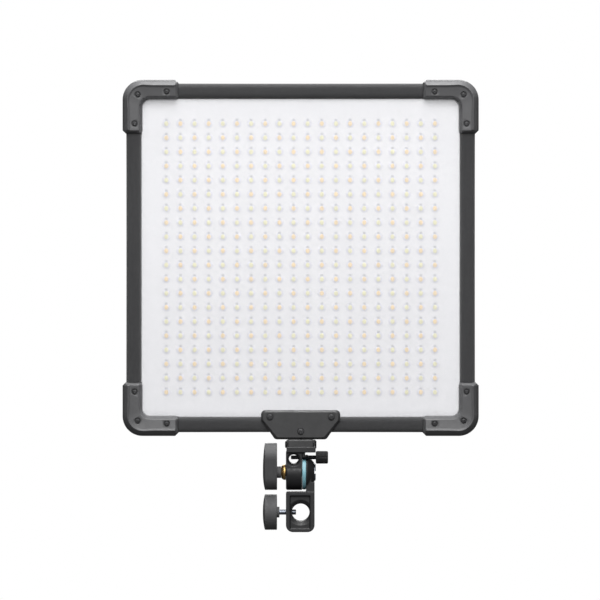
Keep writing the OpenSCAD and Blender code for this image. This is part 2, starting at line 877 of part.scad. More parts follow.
// Egg outline of the lever in its own plane: two circles and their common tangents
module lever_outline() {
    lean = asin((lever_r - lever_tip_r) / lever_reach);
    circle(lever_r);
    translate([0, lever_reach]) circle(lever_tip_r);
    polygon([
        [lever_r * cos(lean), lever_r * sin(lean)],
        [lever_tip_r * cos(lean), lever_reach + lever_tip_r * sin(lean)],
        [-lever_tip_r * cos(lean), lever_reach + lever_tip_r * sin(lean)],
        [-lever_r * cos(lean), lever_r * sin(lean)]
    ]);
}

// The lever: its egg outline, with an outer face that domes up about the tilt axis
module tilt_lever() {
    collar_end = washer_left - slide_gap;
    color([0.3, 0.3, 0.31])
    seated()
    difference() {
        union() {
            translate([0, 0, tilt_z]) rotate([lever_lean, 0, 0]) rotate([90, 0, 90]) hull() {
                translate([0, 0, knob_outer + knob_dome])
                    linear_extrude(knob_w - knob_dome) lever_outline($fn = 48);
                for (share = [0.2, 0.45, 0.7, 0.88])
                    translate([0, 0, knob_outer + knob_dome * pow(share, 2)])
                    linear_extrude(0.1) scale(share) lever_outline($fn = 48);
            }
            tilt_bore(lever_collar_r, knob_inner - over, collar_end);
        }
        tilt_bore(bolt_r + fit_gap, bolt_end - over, collar_end + over);
        tilt_bore(insert_r, insert_left, insert_right);
    }
}

// A threaded insert moulded into the lever
module tilt_lever_insert() {
    color("goldenrod")
    seated()
    difference() {
        tilt_bore(insert_r - fit_gap, insert_left + fit_gap, insert_right - fit_gap);
        tilt_bore(bolt_r + fit_gap, insert_left - over, insert_right + over);
    }
}

module spigot_screw() {
    color("silver")
    seated()
    translate([knob_outer + screw_start, 0, 0]) along_x()
        cylinder(r = spigot_screw_r, h = spigot_tip - knob_outer - screw_start);
}

module spigot_knob() {
    color([0.3, 0.3, 0.31])
    seated()
    difference() {
        union() {
            intersection() {
                translate([knob_outer, 0, 0]) along_x() cylinder(r = spigot_knob_r, h = knob_w);
                translate([knob_outer + spigot_dome_r, 0, 0]) sphere(spigot_dome_r, $fn = 128);
            }
            translate([knob_inner - over, 0, 0]) along_x()
                cylinder(r = spigot_collar_r, h = spigot_collar_w + over);
        }
        translate([knob_outer + screw_start - fit_gap, 0, 0]) along_x()
            cylinder(r = spigot_screw_r + fit_gap, h = 2 * knob_w);
    }
}

module umbrella_screw() {
    color([0.2, 0.2, 0.2])
    seated()
    translate([umbrella_tip, -umbrella_screw_y, umbrella_z]) along_x()
        cylinder(r = umbrella_screw_r,
            h = umbrella_knob_left + umbrella_knob_w - umbrella_blind - umbrella_tip);
}

module umbrella_knob() {
    chamfer = 0.8;
    straight = umbrella_knob_w - 2 * chamfer;
    color([0.24, 0.24, 0.24])
    seated()
    translate([umbrella_knob_left, -umbrella_screw_y, umbrella_z]) along_x()
    difference() {
        union() {
            cylinder(r1 = umbrella_knob_r - chamfer, r2 = umbrella_knob_r, h = chamfer);
            translate([0, 0, chamfer]) cylinder(r = umbrella_knob_r, h = straight);
            translate([0, 0, chamfer + straight])
                cylinder(r1 = umbrella_knob_r, r2 = umbrella_knob_r - chamfer, h = chamfer);
        }
        translate([0, 0, -over])
            cylinder(r = umbrella_screw_r + fit_gap, h = umbrella_knob_w - umbrella_blind + over + fit_gap);
    }
}

// ---------------------------------------------------------------- control unit

module unit_outline(inset) {
    translate([0, unit_z])
        rounded_outline(unit_w - 2 * inset, unit_h - 2 * inset, unit_r - inset);
}

// The four screw posts' places
module at_posts() {
    for (sx = [-1, 1], sz = [-1, 1])
        translate([sx * post_x, 0, unit_z + sz * post_z]) children();
}

module at_dials() {
    for (sx = [-1, 1]) translate([sx * dial_x, 0, dial_z]) children();
}

// The slot that the ribbon passes through, from the light board to the driver board
module lead_slot() {
    box([-8.5, board_t / 2 - over, unit_z - 2.5], [8.5, board_back, unit_z - 0.5]);
}

// Base plate, with four screw bosses for the housing's screws and two rails under the driver board
module unit_base() {
    color([0.2, 0.2, 0.21])
    seated()
    difference() {
        union() {
            slab(cloth_back, base_back) unit_outline(0);
            at_posts() translate([0, base_back - over, 0])
                along_y() cylinder(r = post_r, h = board_back - base_back - 2 + over);
            for (sx = [-1, 1])
                translate([sx * unit_w / 4, 0, unit_z])
                box([-rail_w / 2, base_back - over, -rail_h / 2], [rail_w / 2, board_back, rail_h / 2]);
        }
        lead_slot();
        at_posts() translate([0, cloth_back - over, 0])
            along_y() cylinder(r = unit_screw_r + fit_gap, h = unit_d);
        at_posts() translate([0, cloth_back - over, 0])
            along_y() cylinder(r = unit_screw_head_r + 0.2, h = over + 1.2);
    }
}

// The housing's tray, with openings for the window, dials, button, rocker and power socket
module unit_housing() {
    color([0.17, 0.17, 0.18])
    seated()
    difference() {
        union() {
            difference() {
                slab(base_back, unit_back) unit_outline(0);
                slab(base_back - over, face_in) unit_outline(unit_wall);
            }
            at_posts() translate([0, board_back - 2, 0])
                along_y() cylinder(r = post_r, h = face_in - board_back + 2 + 0.5);
        }
        at_posts() translate([0, base_back, 0])
            along_y() cylinder(r = unit_screw_r + fit_gap, h = face_in - base_back - 1.5);
        translate([0, 0, window_z])
            box([-window_w / 2, face_in - over, -window_h / 2], [window_w / 2, unit_back + over, window_h / 2]);
        at_dials() translate([0, face_in - over, 0])
            along_y() cylinder(r = dial_shaft_r + 0.4, h = unit_wall + 2 * over);
        translate([0, face_in - over, dial_z])
            along_y() cylinder(r = button_r + 0.15, h = unit_wall + 2 * over);
        translate([rocker_x, port_y, unit_low])
            cube([rocker_w, rocker_d, 3 * unit_wall], center = true);
        translate([jack_x, port_y, unit_low - over]) cylinder(r = jack_body / 2 - 0.3, h = 3 * unit_wall);
    }
}

// Screws from the base plate's panel side into the housing's posts
module unit_screws() {
    color("gray")
    seated()
    at_posts()
        translate([0, cloth_back + 1.2, 0]) rotate([90, 0, 0])
        cross_screw(unit_screw_r, unit_d - 6, unit_screw_head_r, 1.1);
}

// The driver board stops short of the housing's rounded corners and of the power inlet
module driver_board() {
    side = unit_w / 2 - unit_wall - 2;
    color("darkgreen")
    seated()
    difference() {
        box([-side, board_back, unit_low + 12],
            [side, board_back + driver_t, unit_z + unit_h / 2 - unit_r + 3]);
        at_posts() translate([0, board_back - over, 0])
            along_y() cylinder(r = post_r + 0.4, h = driver_t + 2 * over);
    }
}

// A flat ribbon from the light board to the driver board
module board_lead() {
    color("peru")
    seated()
    box([-8, board_t / 2, unit_z - 2], [8, board_back, unit_z - 1]);
}

module display_module() {
    color("black")
    seated()
    translate([0, 0, window_z])
    box([-window_w / 2 - 1, board_back + driver_t, -window_h / 2 - 1],
        [window_w / 2 + 1, face_in, window_h / 2 + 1]);
}

module display_window() {
    color([0.1, 0.12, 0.14])
    seated()
    translate([0, 0, window_z])
    box([-window_w / 2 + seat_gap, face_in, -window_h / 2 + seat_gap],
        [window_w / 2 - seat_gap, face_in + window_t, window_h / 2 - seat_gap]);
}

// An encoder stands on the driver board behind each dial
module encoder(side) {
    color("lightgray")
    seated()
    translate([side * dial_x, 0, dial_z]) {
        box([-6, board_back + driver_t, -6], [6, face_in, 6]);
        translate([0, face_in - 1, 0]) along_y() cylinder(r = dial_shaft_r, h = unit_wall + 1 + dial_h - 2);
    }
}

module brightness_encoder() { encoder(-1); }
module colour_encoder() { encoder(1); }

// A dial: a cap on the encoder's shaft, with a pointer groove on its face
module dial(side) {
    low = unit_back + dial_lift;
    chamfer = 1;
    color([0.12, 0.12, 0.12])
    seated()
    translate([side * dial_x, low, dial_z]) along_y()
    difference() {
        union() {
            cylinder(r = dial_r, h = dial_h - chamfer);
            translate([0, 0, dial_h - chamfer]) cylinder(r1 = dial_r, r2 = dial_r - chamfer, h = chamfer);
        }
        translate([0, 0, -over]) cylinder(r = dial_shaft_r + fit_gap, h = dial_h - 2 + over);
        translate([-0.5, -dial_r - over, dial_h - 0.6]) cube([1, dial_r * 0.6 + over, over]);
    }
}

module brightness_dial() { dial(-1); }
module colour_dial() { dial(1); }

module mode_button() {
    color("dimgray")
    seated()
    translate([0, face_in - button_grip, dial_z]) along_y() {
        cylinder(r = button_r, h = unit_wall + button_grip + 1.4);
        cylinder(r = button_r + button_rim, h = button_rim_t);
    }
}

// The switch under the button, with the button's travel left free between them
module mode_switch() {
    top = face_in - button_grip - button_travel - seat_gap;
    color("lightgray")
    seated()
    box([-3, board_back + driver_t, dial_z - 3], [3, top, dial_z + 3]);
}

// Puts a shape drawn about the rocker's pin, along Y, in its place
module at_rocker() {
    translate([rocker_x, port_y, unit_low + rocker_pivot]) children();
}

// The rocker tips on its pin, along Y, and lies at rest with one end pressed in
module power_rocker() {
    w = rocker_w / 2 - 1.3;
    d = rocker_d - 1.6;
    color([0.1, 0.1, 0.1])
    seated()
    at_rocker() {
        rotate([0, rocker_tilt, 0])
            slab(-d / 2, d / 2)
            polygon([[-w, -4.3], [0, -3.3], [w, -4.3], [w, -1.2], [1.5, 1.2], [-1.5, 1.2], [-w, -1.2]]);
        along_y() cylinder(r = rocker_pin_r, h = rocker_d + 1.6, center = true);
    }
}

// The switch's body, with the rocker's room left open and holes for its pin
module power_switch() {
    low = unit_low + unit_wall;
    w = rocker_w / 2;
    d = rocker_d / 2;
    color("black")
    seated()
    difference() {
        box([rocker_x - w - 1, port_y - d - 1, low], [rocker_x + w + 1, port_y + d + 1, low + 9]);
        box([rocker_x - w, port_y - d, low - over], [rocker_x + w, port_y + d, low + 3.4]);
        at_rocker() along_y() cylinder(r = rocker_pin_r + fit_gap, h = 2 * rocker_d, center = true);
    }
}

// The round inlet for the power lead, with its centre pin
module power_socket() {
    low = unit_low - 0.6;
    color("black")
    seated()
    translate([jack_x, port_y, low]) {
        difference() {
            union() {
                cylinder(r = jack_body / 2 - 0.4, h = 12);
                cylinder(r = jack_body / 2 + 0.6, h = 0.6);
            }
            translate([0, 0, -over]) cylinder(r = jack_r, h = 9 + over);
        }
        translate([0, 0, 1]) cylinder(r = 0.9, h = 10);
    }
}

led_board();
led_rows();
diffuser_sheet();
backing_foam();
back_cloth();
edge_sleeve_top();
edge_sleeve_bottom();
edge_sleeve_left();
edge_sleeve_right();
edge_bar_top();
edge_bar_bottom();
edge_bar_left();
edge_bar_right();
corner_front_top_left();
corner_front_top_right();
corner_front_bottom_left();
corner_front_bottom_right();
corner_rear_top_left();
corner_rear_top_right();
corner_rear_bottom_left();
corner_rear_bottom_right();
corner_screws();
clamp_front_plate();
clamp_rear_plate();
clamp_screws();
head_arm();
head_cross_pin();
friction_ring();
base_arm();
tilt_bolt();
tilt_washer();
tilt_lever();
tilt_lever_insert();
spigot_screw();
spigot_knob();
umbrella_screw();
umbrella_knob();
unit_base();
unit_housing();
unit_screws();
driver_board();
board_lead();
display_module();
display_window();
brightness_encoder();
colour_encoder();
brightness_dial();
colour_dial();
mode_button();
mode_switch();
power_rocker();
power_switch();
power_socket();
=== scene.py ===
# Studio LED panel light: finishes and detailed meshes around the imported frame.
# Metres. +X is to the right as seen from in front, the light shines to -Y, +Z is up.
# The origin is the centre of the spigot socket's front mouth.
import math

import bmesh
import bpy
from mathutils import Matrix, Vector, noise


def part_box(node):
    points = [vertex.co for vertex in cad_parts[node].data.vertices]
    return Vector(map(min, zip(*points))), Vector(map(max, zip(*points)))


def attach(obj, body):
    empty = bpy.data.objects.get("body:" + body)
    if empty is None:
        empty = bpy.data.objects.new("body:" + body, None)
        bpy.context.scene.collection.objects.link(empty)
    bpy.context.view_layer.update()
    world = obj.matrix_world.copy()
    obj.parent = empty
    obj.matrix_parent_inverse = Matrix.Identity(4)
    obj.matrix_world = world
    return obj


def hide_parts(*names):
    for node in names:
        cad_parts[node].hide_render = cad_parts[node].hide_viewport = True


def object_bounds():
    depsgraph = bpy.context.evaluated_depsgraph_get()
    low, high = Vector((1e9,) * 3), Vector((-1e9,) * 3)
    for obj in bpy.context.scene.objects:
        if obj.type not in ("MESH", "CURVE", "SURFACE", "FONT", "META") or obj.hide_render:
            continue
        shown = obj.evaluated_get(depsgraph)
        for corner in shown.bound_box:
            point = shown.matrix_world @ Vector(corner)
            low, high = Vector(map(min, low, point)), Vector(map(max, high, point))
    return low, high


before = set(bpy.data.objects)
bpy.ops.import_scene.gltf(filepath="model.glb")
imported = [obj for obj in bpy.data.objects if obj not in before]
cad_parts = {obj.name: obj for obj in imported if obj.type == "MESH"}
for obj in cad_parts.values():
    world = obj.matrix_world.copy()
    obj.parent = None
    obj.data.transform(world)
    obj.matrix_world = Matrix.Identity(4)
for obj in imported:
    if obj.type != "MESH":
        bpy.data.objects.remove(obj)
CAD_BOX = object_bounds()
MM = 0.001
SCENE = bpy.context.scene

# ------------------------------------------------------------------ camera, light and stage

VIEW_WIDTH = 571.6 * MM
VIEW_X = -0.6 * MM
VIEW_Z = 202.5 * MM
CAMERA_DISTANCE = 4.0
SENSOR = 36.0
DIM_ROOM = 0.05
GLOSSY_ROOM = 0.12


def set_camera():
    camera = bpy.data.cameras.new("camera")
    camera.sensor_width = SENSOR
    camera.lens = SENSOR * CAMERA_DISTANCE / VIEW_WIDTH
    holder = bpy.data.objects.new("camera", camera)
    holder.location = (VIEW_X, -CAMERA_DISTANCE, VIEW_Z)
    holder.rotation_euler = (math.pi / 2, 0, 0)
    SCENE.collection.objects.link(holder)
    SCENE.camera = holder


def add_softbox(name, place, target, width, height, watts):
    lamp = bpy.data.lights.new(name, "AREA")
    lamp.shape = "RECTANGLE"
    lamp.size = width
    lamp.size_y = height
    lamp.energy = watts
    holder = bpy.data.objects.new(name, lamp)
    holder.location = place
    aim = Vector(target) - Vector(place)
    holder.rotation_euler = aim.to_track_quat("-Z", "Y").to_euler()
    SCENE.collection.objects.link(holder)


def set_lights():
    """A high soft light does most of the work. A strip straight above, a front and a rear light help."""
    middle = (0, 0, 0.2)
    add_softbox("front_softbox", (0, -2.8, 1.2), middle, 1.0, 0.8, 40)
    add_softbox("upper_softbox", (0, -1.6, 2.2), middle, 1.6, 1.3, 70)
    add_softbox("overhead_strip", (0, -0.02, 1.75), middle, 0.7, 0.4, 36)
    add_softbox("rear_softbox", (0, 2.4, 1.4), middle, 1.6, 1.2, 40)


def add_to(tree, kind, **settings):
    node = tree.nodes.new("ShaderNode" + kind)
    for key, value in settings.items():
        setattr(node, key, value)
    return node


def give(node, **values):
    """Sets a node's inputs by name, with _ for a space."""
    for name, value in values.items():
        node.inputs[name.replace("_", " ")].default_value = value


def set_world():
    """A dim room for the light to bounce in, brighter in reflections and plain white where it is seen."""
    world = bpy.data.worlds.new("studio")
    world.use_nodes = True
    SCENE.world = world
    tree = world.node_tree
    background = tree.nodes["Background"]
    give(background, Color=(1, 1, 1, 1))
    ray = add_to(tree, "LightPath")
    seen = add_to(tree, "Math", operation="MAXIMUM")
    tree.links.new(ray.outputs["Is Camera Ray"], seen.inputs[0])
    tree.links.new(ray.outputs["Is Transmission Ray"], seen.inputs[1])
    mirrored = add_to(tree, "Math", operation="MULTIPLY_ADD")
    tree.links.new(ray.outputs["Is Glossy Ray"], mirrored.inputs[0])
    mirrored.inputs[1].default_value = GLOSSY_ROOM - DIM_ROOM
    mirrored.inputs[2].default_value = DIM_ROOM
    level = add_to(tree, "Math", operation="MAXIMUM")
    tree.links.new(seen.outputs[0], level.inputs[0])
    tree.links.new(mirrored.outputs[0], level.inputs[1])
    tree.links.new(level.outputs[0], background.inputs["Strength"])


def set_floor():
    """A pale floor that keeps a soft shadow below the light and fades to white far out."""
    drop = 0.32
    bm = bmesh.new()
    bmesh.ops.create_grid(bm, x_segments=8, y_segments=8, size=20)
    mesh = bpy.data.meshes.new("floor")
    bm.to_mesh(mesh)
    bm.free()
    floor = bpy.data.objects.new("floor", mesh)
    floor.location = (0, 0, CAD_BOX[0][2] - drop)
    SCENE.collection.objects.link(floor)
    material = bpy.data.materials.new("floor")
    material.use_nodes = True
    tree = material.node_tree
    surface = tree.nodes["Principled BSDF"]
    give(surface, Base_Color=(0.07, 0.07, 0.07, 1), Roughness=0.95, Specular_IOR_Level=0.1)
    glow = add_to(tree, "Emission")
    ray = add_to(tree, "LightPath")
    place = add_to(tree, "TexCoord")
    distance = add_to(tree, "VectorMath", operation="LENGTH")
    fade = add_to(tree, "MapRange")
    give(fade, From_Min=0.8, From_Max=3.0, To_Min=0.85, To_Max=1.0)
    share = add_to(tree, "Math", operation="MULTIPLY")
    blend = add_to(tree, "MixShader")
    tree.links.new(place.outputs["Object"], distance.inputs[0])
    tree.links.new(distance.outputs["Value"], fade.inputs["Value"])
    tree.links.new(fade.outputs["Result"], share.inputs[0])
    tree.links.new(ray.outputs["Is Camera Ray"], share.inputs[1])
    tree.links.new(share.outputs[0], blend.inputs[0])
    tree.links.new(surface.outputs[0], blend.inputs[1])
    tree.links.new(glow.outputs[0], blend.inputs[2])
    tree.links.new(blend.outputs[0], tree.nodes["Material Output"].inputs["Surface"])
    mesh.materials.append(material)


SCENE.view_settings.view_transform = "Standard"
set_camera()
set_lights()
set_world()
set_floor()

# ------------------------------------------------------------------ materials


class Paint:
    """A material in the making: its nodes are added and linked by short calls."""

    def __init__(self, name, roughness, metallic=0.0, specular=0.5):
        self.material = bpy.data.materials.new(name)
        self.material.use_nodes = True
        self.tree = self.material.node_tree
        self.shader = self.tree.nodes["Principled BSDF"]
        give(self.shader, Roughness=roughness, Metallic=metallic, Specular_IOR_Level=specular)
        self.place = self.add("TexCoord").outputs["Object"]
        self.bumps = None

    def add(self, kind, **settings):
        return add_to(self.tree, kind, **settings)

    def link(self, source, target):
        self.tree.links.new(source, target)

    def noise(self, size, detail=2.0, stretch=(1, 1, 1)):
        """Noise whose blotches are about size wide, drawn out along an axis by stretch."""
        scale = self.add("Mapping")
        give(scale, Scale=[1 / (size * s) for s in stretch])
        self.link(self.place, scale.inputs["Vector"])
        field = self.add("TexNoise")
        give(field, Scale=1.0, Detail=detail)
        self.link(scale.outputs["Vector"], field.inputs["Vector"])
        return field.outputs["Fac"]

    def ripple(self, direction, pitch):
        """A sine from -1 to 1 along a direction."""
        dot = self.add("VectorMath", operation="DOT_PRODUCT")
        dot.inputs[1].default_value = [2 * math.pi / pitch * d for d in direction]
        self.link(self.place, dot.inputs[0])
        return self.math("SINE", dot.outputs["Value"])

    def math(self, operation, a, b=None):
        step = self.add("Math", operation=operation)
        for slot, value in enumerate((a, b)):
            if isinstance(value, (int, float)):
                step.inputs[slot].default_value = value
            elif value is not None:
                self.link(value, step.inputs[slot])
        return step.outputs[0]

    def spread(self, value, low, high, to_low=0.0, to_high=1.0):
        """Maps low..high to to_low..to_high, and holds it there."""
        step = self.add("MapRange")
        give(step, From_Min=low, From_Max=high, To_Min=to_low, To_Max=to_high)
        self.link(value, step.inputs["Value"])
        return step.outputs["Result"]

    def mix(self, share, a, b):
        """A colour between a and b, each a colour or an output."""
        step = self.add("Mix", data_type="RGBA")
        self.link(share, step.inputs["Factor"])
        for socket, value in ((step.inputs[6], a), (step.inputs[7], b)):
            if isinstance(value, tuple):
                socket.default_value = (*value, 1)
            else:
                self.link(value, socket)
        return step.outputs[2]

    def colour(self, value):
        self.link(value, self.shader.inputs["Base Color"])

    def patches(self, size, detail=2.0, stretch=(1, 1, 1)):
        """Noise with its contrast raised: from 0 to 1 in patches about size wide."""
        return self.spread(self.noise(size, detail, stretch), 0.3, 0.7)

    def uneven(self, size, detail, low, high):
        """Roughness from low to high, in patches about size wide."""
        self.rough(self.spread(self.noise(size, detail), 0.3, 0.7, low, high))

    def rough(self, value):
        self.link(value, self.shader.inputs["Roughness"])

    def bump(self, height, depth, strength=1.0):
        """Adds relief: height from 0 to 1 stands for depth metres."""
        step = self.add("Bump")
        give(step, Strength=strength, Distance=depth)
        self.link(height, step.inputs["Height"])
        if self.bumps is not None:
            self.link(self.bumps, step.inputs["Normal"])
        self.bumps = step.outputs["Normal"]
        self.link(self.bumps, self.shader.inputs["Normal"])

    def edges(self, low=0.52, high=0.6):
        """How sharp the surface bends outward, from 0 on a face to 1 on an edge."""
        shape = self.add("NewGeometry")
        return self.spread(shape.outputs["Pointiness"], low, high)


def tint(colour, factor):
    return tuple(min(1.0, c * factor) for c in colour)


def moulded(name, colour, grain=0.35 * MM, depth=0.03 * MM, roughness=0.5, wear=1.35, specular=0.35):
    """Moulded plastic: a fine spark texture, a drifting tone and edges rubbed paler."""
    paint = Paint(name, roughness, specular=specular)
    drift = paint.patches(14 * MM, 3)
    fine = paint.patches(grain, 2)
    tone = paint.mix(drift, tint(colour, 0.92), tint(colour, 1.08))
    speck = paint.mix(fine, tint(colour, 0.85), tone)
    paint.colour(paint.mix(paint.edges(), speck, tint(colour, wear)))
    paint.uneven(5 * MM, 4, roughness - 0.07, roughness + 0.07)
    paint.bump(paint.noise(grain, 2), depth, 0.6)
    return paint.material


def powder_coated(name, colour, roughness=0.48, wear=1.7):
    """Powder coat on metal: orange peel, a little dust and bright rubbed edges."""
    paint = Paint(name, roughness, specular=0.4)
    drift = paint.patches(9 * MM, 3)
    tone = paint.mix(drift, tint(colour, 0.9), tint(colour, 1.1))
    rubbed = paint.math("MULTIPLY", paint.edges(0.53, 0.66), paint.spread(paint.noise(2 * MM, 4), 0.4, 0.6))
    paint.colour(paint.mix(rubbed, tone, tint(colour, wear)))
    paint.uneven(3 * MM, 3, roughness - 0.08, roughness + 0.08)
    paint.bump(paint.noise(0.9 * MM, 2), 0.05 * MM, 0.7)
    paint.bump(paint.noise(0.25 * MM, 1), 0.02 * MM, 0.5)
    return paint.material


def woven(name, colour, across, along, yarn, depth=0.12 * MM, sheen=0.25):
    """Plain-woven nylon whose yarns run across and along the given directions."""
    paint = Paint(name, 0.85, specular=0.2)
    give(paint.shader, Sheen_Weight=sheen, Sheen_Roughness=0.6)
    warp = paint.ripple(across, 2 * yarn)
    weft = paint.ripple(along, 2 * yarn)
    cell = paint.math("MULTIPLY", warp, weft)
    height = paint.spread(cell, -1, 1)
    drift = paint.patches(22 * MM, 4)
    streak = paint.spread(paint.noise(1.6 * MM, 2, tuple(1 + 14 * abs(a) for a in along)), 0.3, 0.7)
    tone = paint.mix(drift, tint(colour, 0.9), tint(colour, 1.1))
    thread = paint.mix(streak, tint(colour, 0.82), tone)
    # Where the weave's bump height is low, between the yarns, the colour falls to 0.62 of the yarn's: painted
    # shade in the hollows of the weave.
    paint.colour(paint.mix(height, tint(colour, 0.62), thread))
    paint.uneven(4 * MM, 3, 0.78, 0.92)
    paint.bump(height, depth, 0.8)
    paint.bump(paint.noise(0.2 * MM, 1), 0.03 * MM, 0.5)
    return paint.material


def bare_metal(name, colour, roughness, along, pitch=0.12 * MM):
    """Turned or drawn metal: fine tool marks along one direction and a little tarnish."""
    paint = Paint(name, roughness, metallic=1.0)
    marks = paint.noise(pitch, 2, tuple(1 + 30 * (1 - abs(a)) for a in along))
    tarnish = paint.spread(paint.noise(2.5 * MM, 4), 0.35, 0.7)
    clean = paint.mix(paint.spread(marks, 0.3, 0.7), tint(colour, 0.9), tint(colour, 1.06))
    paint.colour(paint.mix(tarnish, clean, tint(colour, 0.82)))
    paint.uneven(1.2 * MM, 3, roughness - 0.05, roughness + 0.12)
    paint.bump(marks, 0.01 * MM, 0.6)
    return paint.material


def milky_film():
    """The diffuser: a milky film that lets the chips behind show faintly."""
    paint = Paint("milky_film", 0.42, specular=0.3)
    give(paint.shader, Alpha=0.26)
    drift = paint.patches(60 * MM, 2)
    grain = paint.patches(0.8 * MM, 2)
    tone = paint.mix(drift, (0.865, 0.865, 0.885), (0.885, 0.885, 0.9))
    paint.colour(paint.mix(grain, tint((0.87, 0.87, 0.885), 0.99), tone))
    paint.uneven(3 * MM, 3, 0.38, 0.48)
    paint.bump(paint.noise(0.6 * MM, 2), 0.02 * MM, 0.4)
    return paint.material


def speckled(name, colour, roughness, grain=0.6 * MM, contrast=0.1, specular=0.4):
    """A small part's own colour with fine mottling."""
    paint = Paint(name, roughness, specular=specular)
    fine = paint.patches(grain, 3)
    paint.colour(paint.mix(fine, tint(colour, 1 - contrast), tint(colour, 1 + contrast)))
    paint.uneven(grain * 3, 2, roughness - 0.05, roughness + 0.05)
    paint.bump(paint.noise(grain, 2), 0.02 * MM, 0.5)
    return paint.material


def circuit_board():
    """Green solder mask over traces, seen only if the unit is opened."""
    paint = Paint("circuit_board", 0.35)
    lanes = paint.math("MULTIPLY", paint.ripple((1, 0, 0), 2.4 * MM), paint.ripple((0, 0, 1), 3.1 * MM))
    traces = paint.spread(lanes, 0.1, 0.2)
    drift = paint.patches(8 * MM, 3)
    mask = paint.mix(drift, (0.01, 0.11, 0.04), (0.015, 0.15, 0.06))
    paint.colour(paint.mix(traces, mask, (0.03, 0.24, 0.1)))
    paint.bump(traces, 0.03 * MM, 0.6)
    return paint.material


def dark_window():
    """The display's dark clear window."""
    paint = Paint("dark_window", 0.08, specular=0.6)
    give(paint.shader, Coat_Weight=0.6)
    smear = paint.spread(paint.noise(9 * MM, 4, (1, 1, 2)), 0.35, 0.75)
    paint.colour(paint.mix(smear, (0.006, 0.007, 0.009), (0.012, 0.014, 0.017)))
    paint.rough(paint.spread(paint.noise(12 * MM, 4), 0.4, 0.75, 0.05, 0.16))
    return paint.material


COVER = moulded("cover_plastic", (0.09, 0.09, 0.093), specular=0.35)
KNOB = moulded("knob_plastic", (0.09, 0.09, 0.092), grain=0.25 * MM, roughness=0.58, specular=0.2)
UNIT = moulded("unit_plastic", (0.03, 0.03, 0.032), grain=0.4 * MM, depth=0.04 * MM, roughness=0.55)
SLEEVE_FLAT = woven("sleeve_fabric_flat", (0.041, 0.041, 0.043), (0, 0, 1), (1, 0, 0), 0.45 * MM)
SLEEVE_UP = woven("sleeve_fabric_up", (0.042, 0.042, 0.044), (1, 0, 0), (0, 0, 1), 0.45 * MM)
BACK = woven("back_fabric", (0.022, 0.022, 0.024), (1, 0, 0), (0, 0, 1), 0.5 * MM)
BACK_THREAD = speckled("back_thread", (0.05, 0.05, 0.053), 0.7, 0.3 * MM, 0.2)
FOAM = speckled("backing_foam", (0.09, 0.09, 0.09), 0.95, 1.2 * MM, 0.25, 0.1)
COATED = powder_coated("clamp_coat", (0.036, 0.036, 0.037))
CASTING = powder_coated("casting_coat", (0.0155, 0.0155, 0.0165), 0.48)
RING = speckled("ring_plastic", (0.21, 0.43, 0.5), 0.4, 0.5 * MM, 0.05)
STEEL = bare_metal("zinc_steel", (0.24, 0.26, 0.3), 0.42, (1, 0, 0))
BLACK_STEEL = bare_metal("black_steel", (0.045, 0.045, 0.048), 0.38, (1, 0, 0))
SCREW_BLACK = powder_coated("screw_black", (0.035, 0.035, 0.037), 0.5, 2.6)
BRASS = bare_metal("turned_brass", (0.66, 0.42, 0.16), 0.4, (1, 0, 0))
ALUMINIUM = bare_metal("drawn_aluminium", (0.78, 0.79, 0.8), 0.3, (0, 1, 0))
FILM = milky_film()
WHITE_BOARD = speckled("white_board", (0.82, 0.82, 0.84), 0.5, 1.5 * MM, 0.02)
PACKAGE = speckled("chip_package", (0.73, 0.73, 0.78), 0.4, 0.5 * MM, 0.04)
YELLOW = speckled("yellow_phosphor", (0.79, 0.76, 0.36), 0.5, 0.4 * MM, 0.06)
ORANGE = speckled("orange_phosphor", (0.9, 0.63, 0.22), 0.5, 0.4 * MM, 0.05)
SMALL_PART = speckled("small_part", (0.48, 0.48, 0.52), 0.45, 0.4 * MM, 0.1)
RIM = speckled("chip_rim", (0.71, 0.71, 0.77), 0.45, 0.5 * MM, 0.04)
BOARD = circuit_board()
GREY_PART = speckled("grey_part", (0.35, 0.35, 0.36), 0.45, 0.6 * MM, 0.12)
WINDOW = dark_window()
RUBBER = moulded("black_rubber", (0.03, 0.03, 0.031), grain=0.3 * MM, roughness=0.72, wear=1.2, specular=0.25)
KNOB_BLACK = moulded("black_knob", (0.012, 0.012, 0.0125), grain=0.3 * MM, roughness=0.6, specular=0.15)
MARK = speckled("pale_mark", (0.7, 0.7, 0.72), 0.5, 0.3 * MM, 0.06)

# ------------------------------------------------------------------ mesh helpers


def circle(r, count):
    """Points of a circle."""
    turns = [2 * math.pi * i / count for i in range(count)]
    return [(r * math.cos(angle), r * math.sin(angle)) for angle in turns]


def rounded_corner(cx, cy, r, start, sweep, count):
    """Points of an arc about a centre, from start through sweep, in degrees."""
    angles = [math.radians(start + sweep * i / count) for i in range(count + 1)]
    return [(cx + r * math.cos(angle), cy + r * math.sin(angle)) for angle in angles]


def rounded_rectangle(w, h, r, count=6):
    """Points of a rounded rectangle about the origin."""
    outline = []
    for sx, sy, start in ((1, 1, 0), (-1, 1, 90), (-1, -1, 180), (1, -1, 270)):
        outline += rounded_corner(sx * (w / 2 - r), sy * (h / 2 - r), r, start, 90, count)
    return outline


def loft(bm, rings, caps=True):
    """Joins rings of points into one skin, with a flat cap at each end."""
    rows = [[bm.verts.new(point) for point in ring] for ring in rings]
    count = len(rows[0])
    for low, high in zip(rows, rows[1:]):
        for i in range(count):
            j = (i + 1) % count
            bm.faces.new((low[i], low[j], high[j], high[i]))
    if caps:
        bm.faces.new(rows[0][::-1])
        bm.faces.new(rows[-1])


def add_sheet(bm, count, point, flip=False):
    """Adds a square sheet of count by count faces, cornered at point(u, v) for u and v from -1 to 1."""
    steps = [-1 + 2 * i / count for i in range(count + 1)]
    rows = [[bm.verts.new(point(u, v)) for u in steps] for v in steps]
    for low, high in zip(rows, rows[1:]):
        for j in range(count):
            second, fourth = (high[j], low[j + 1]) if flip else (low[j + 1], high[j])
            bm.faces.new((low[j], second, high[j + 1], fourth))


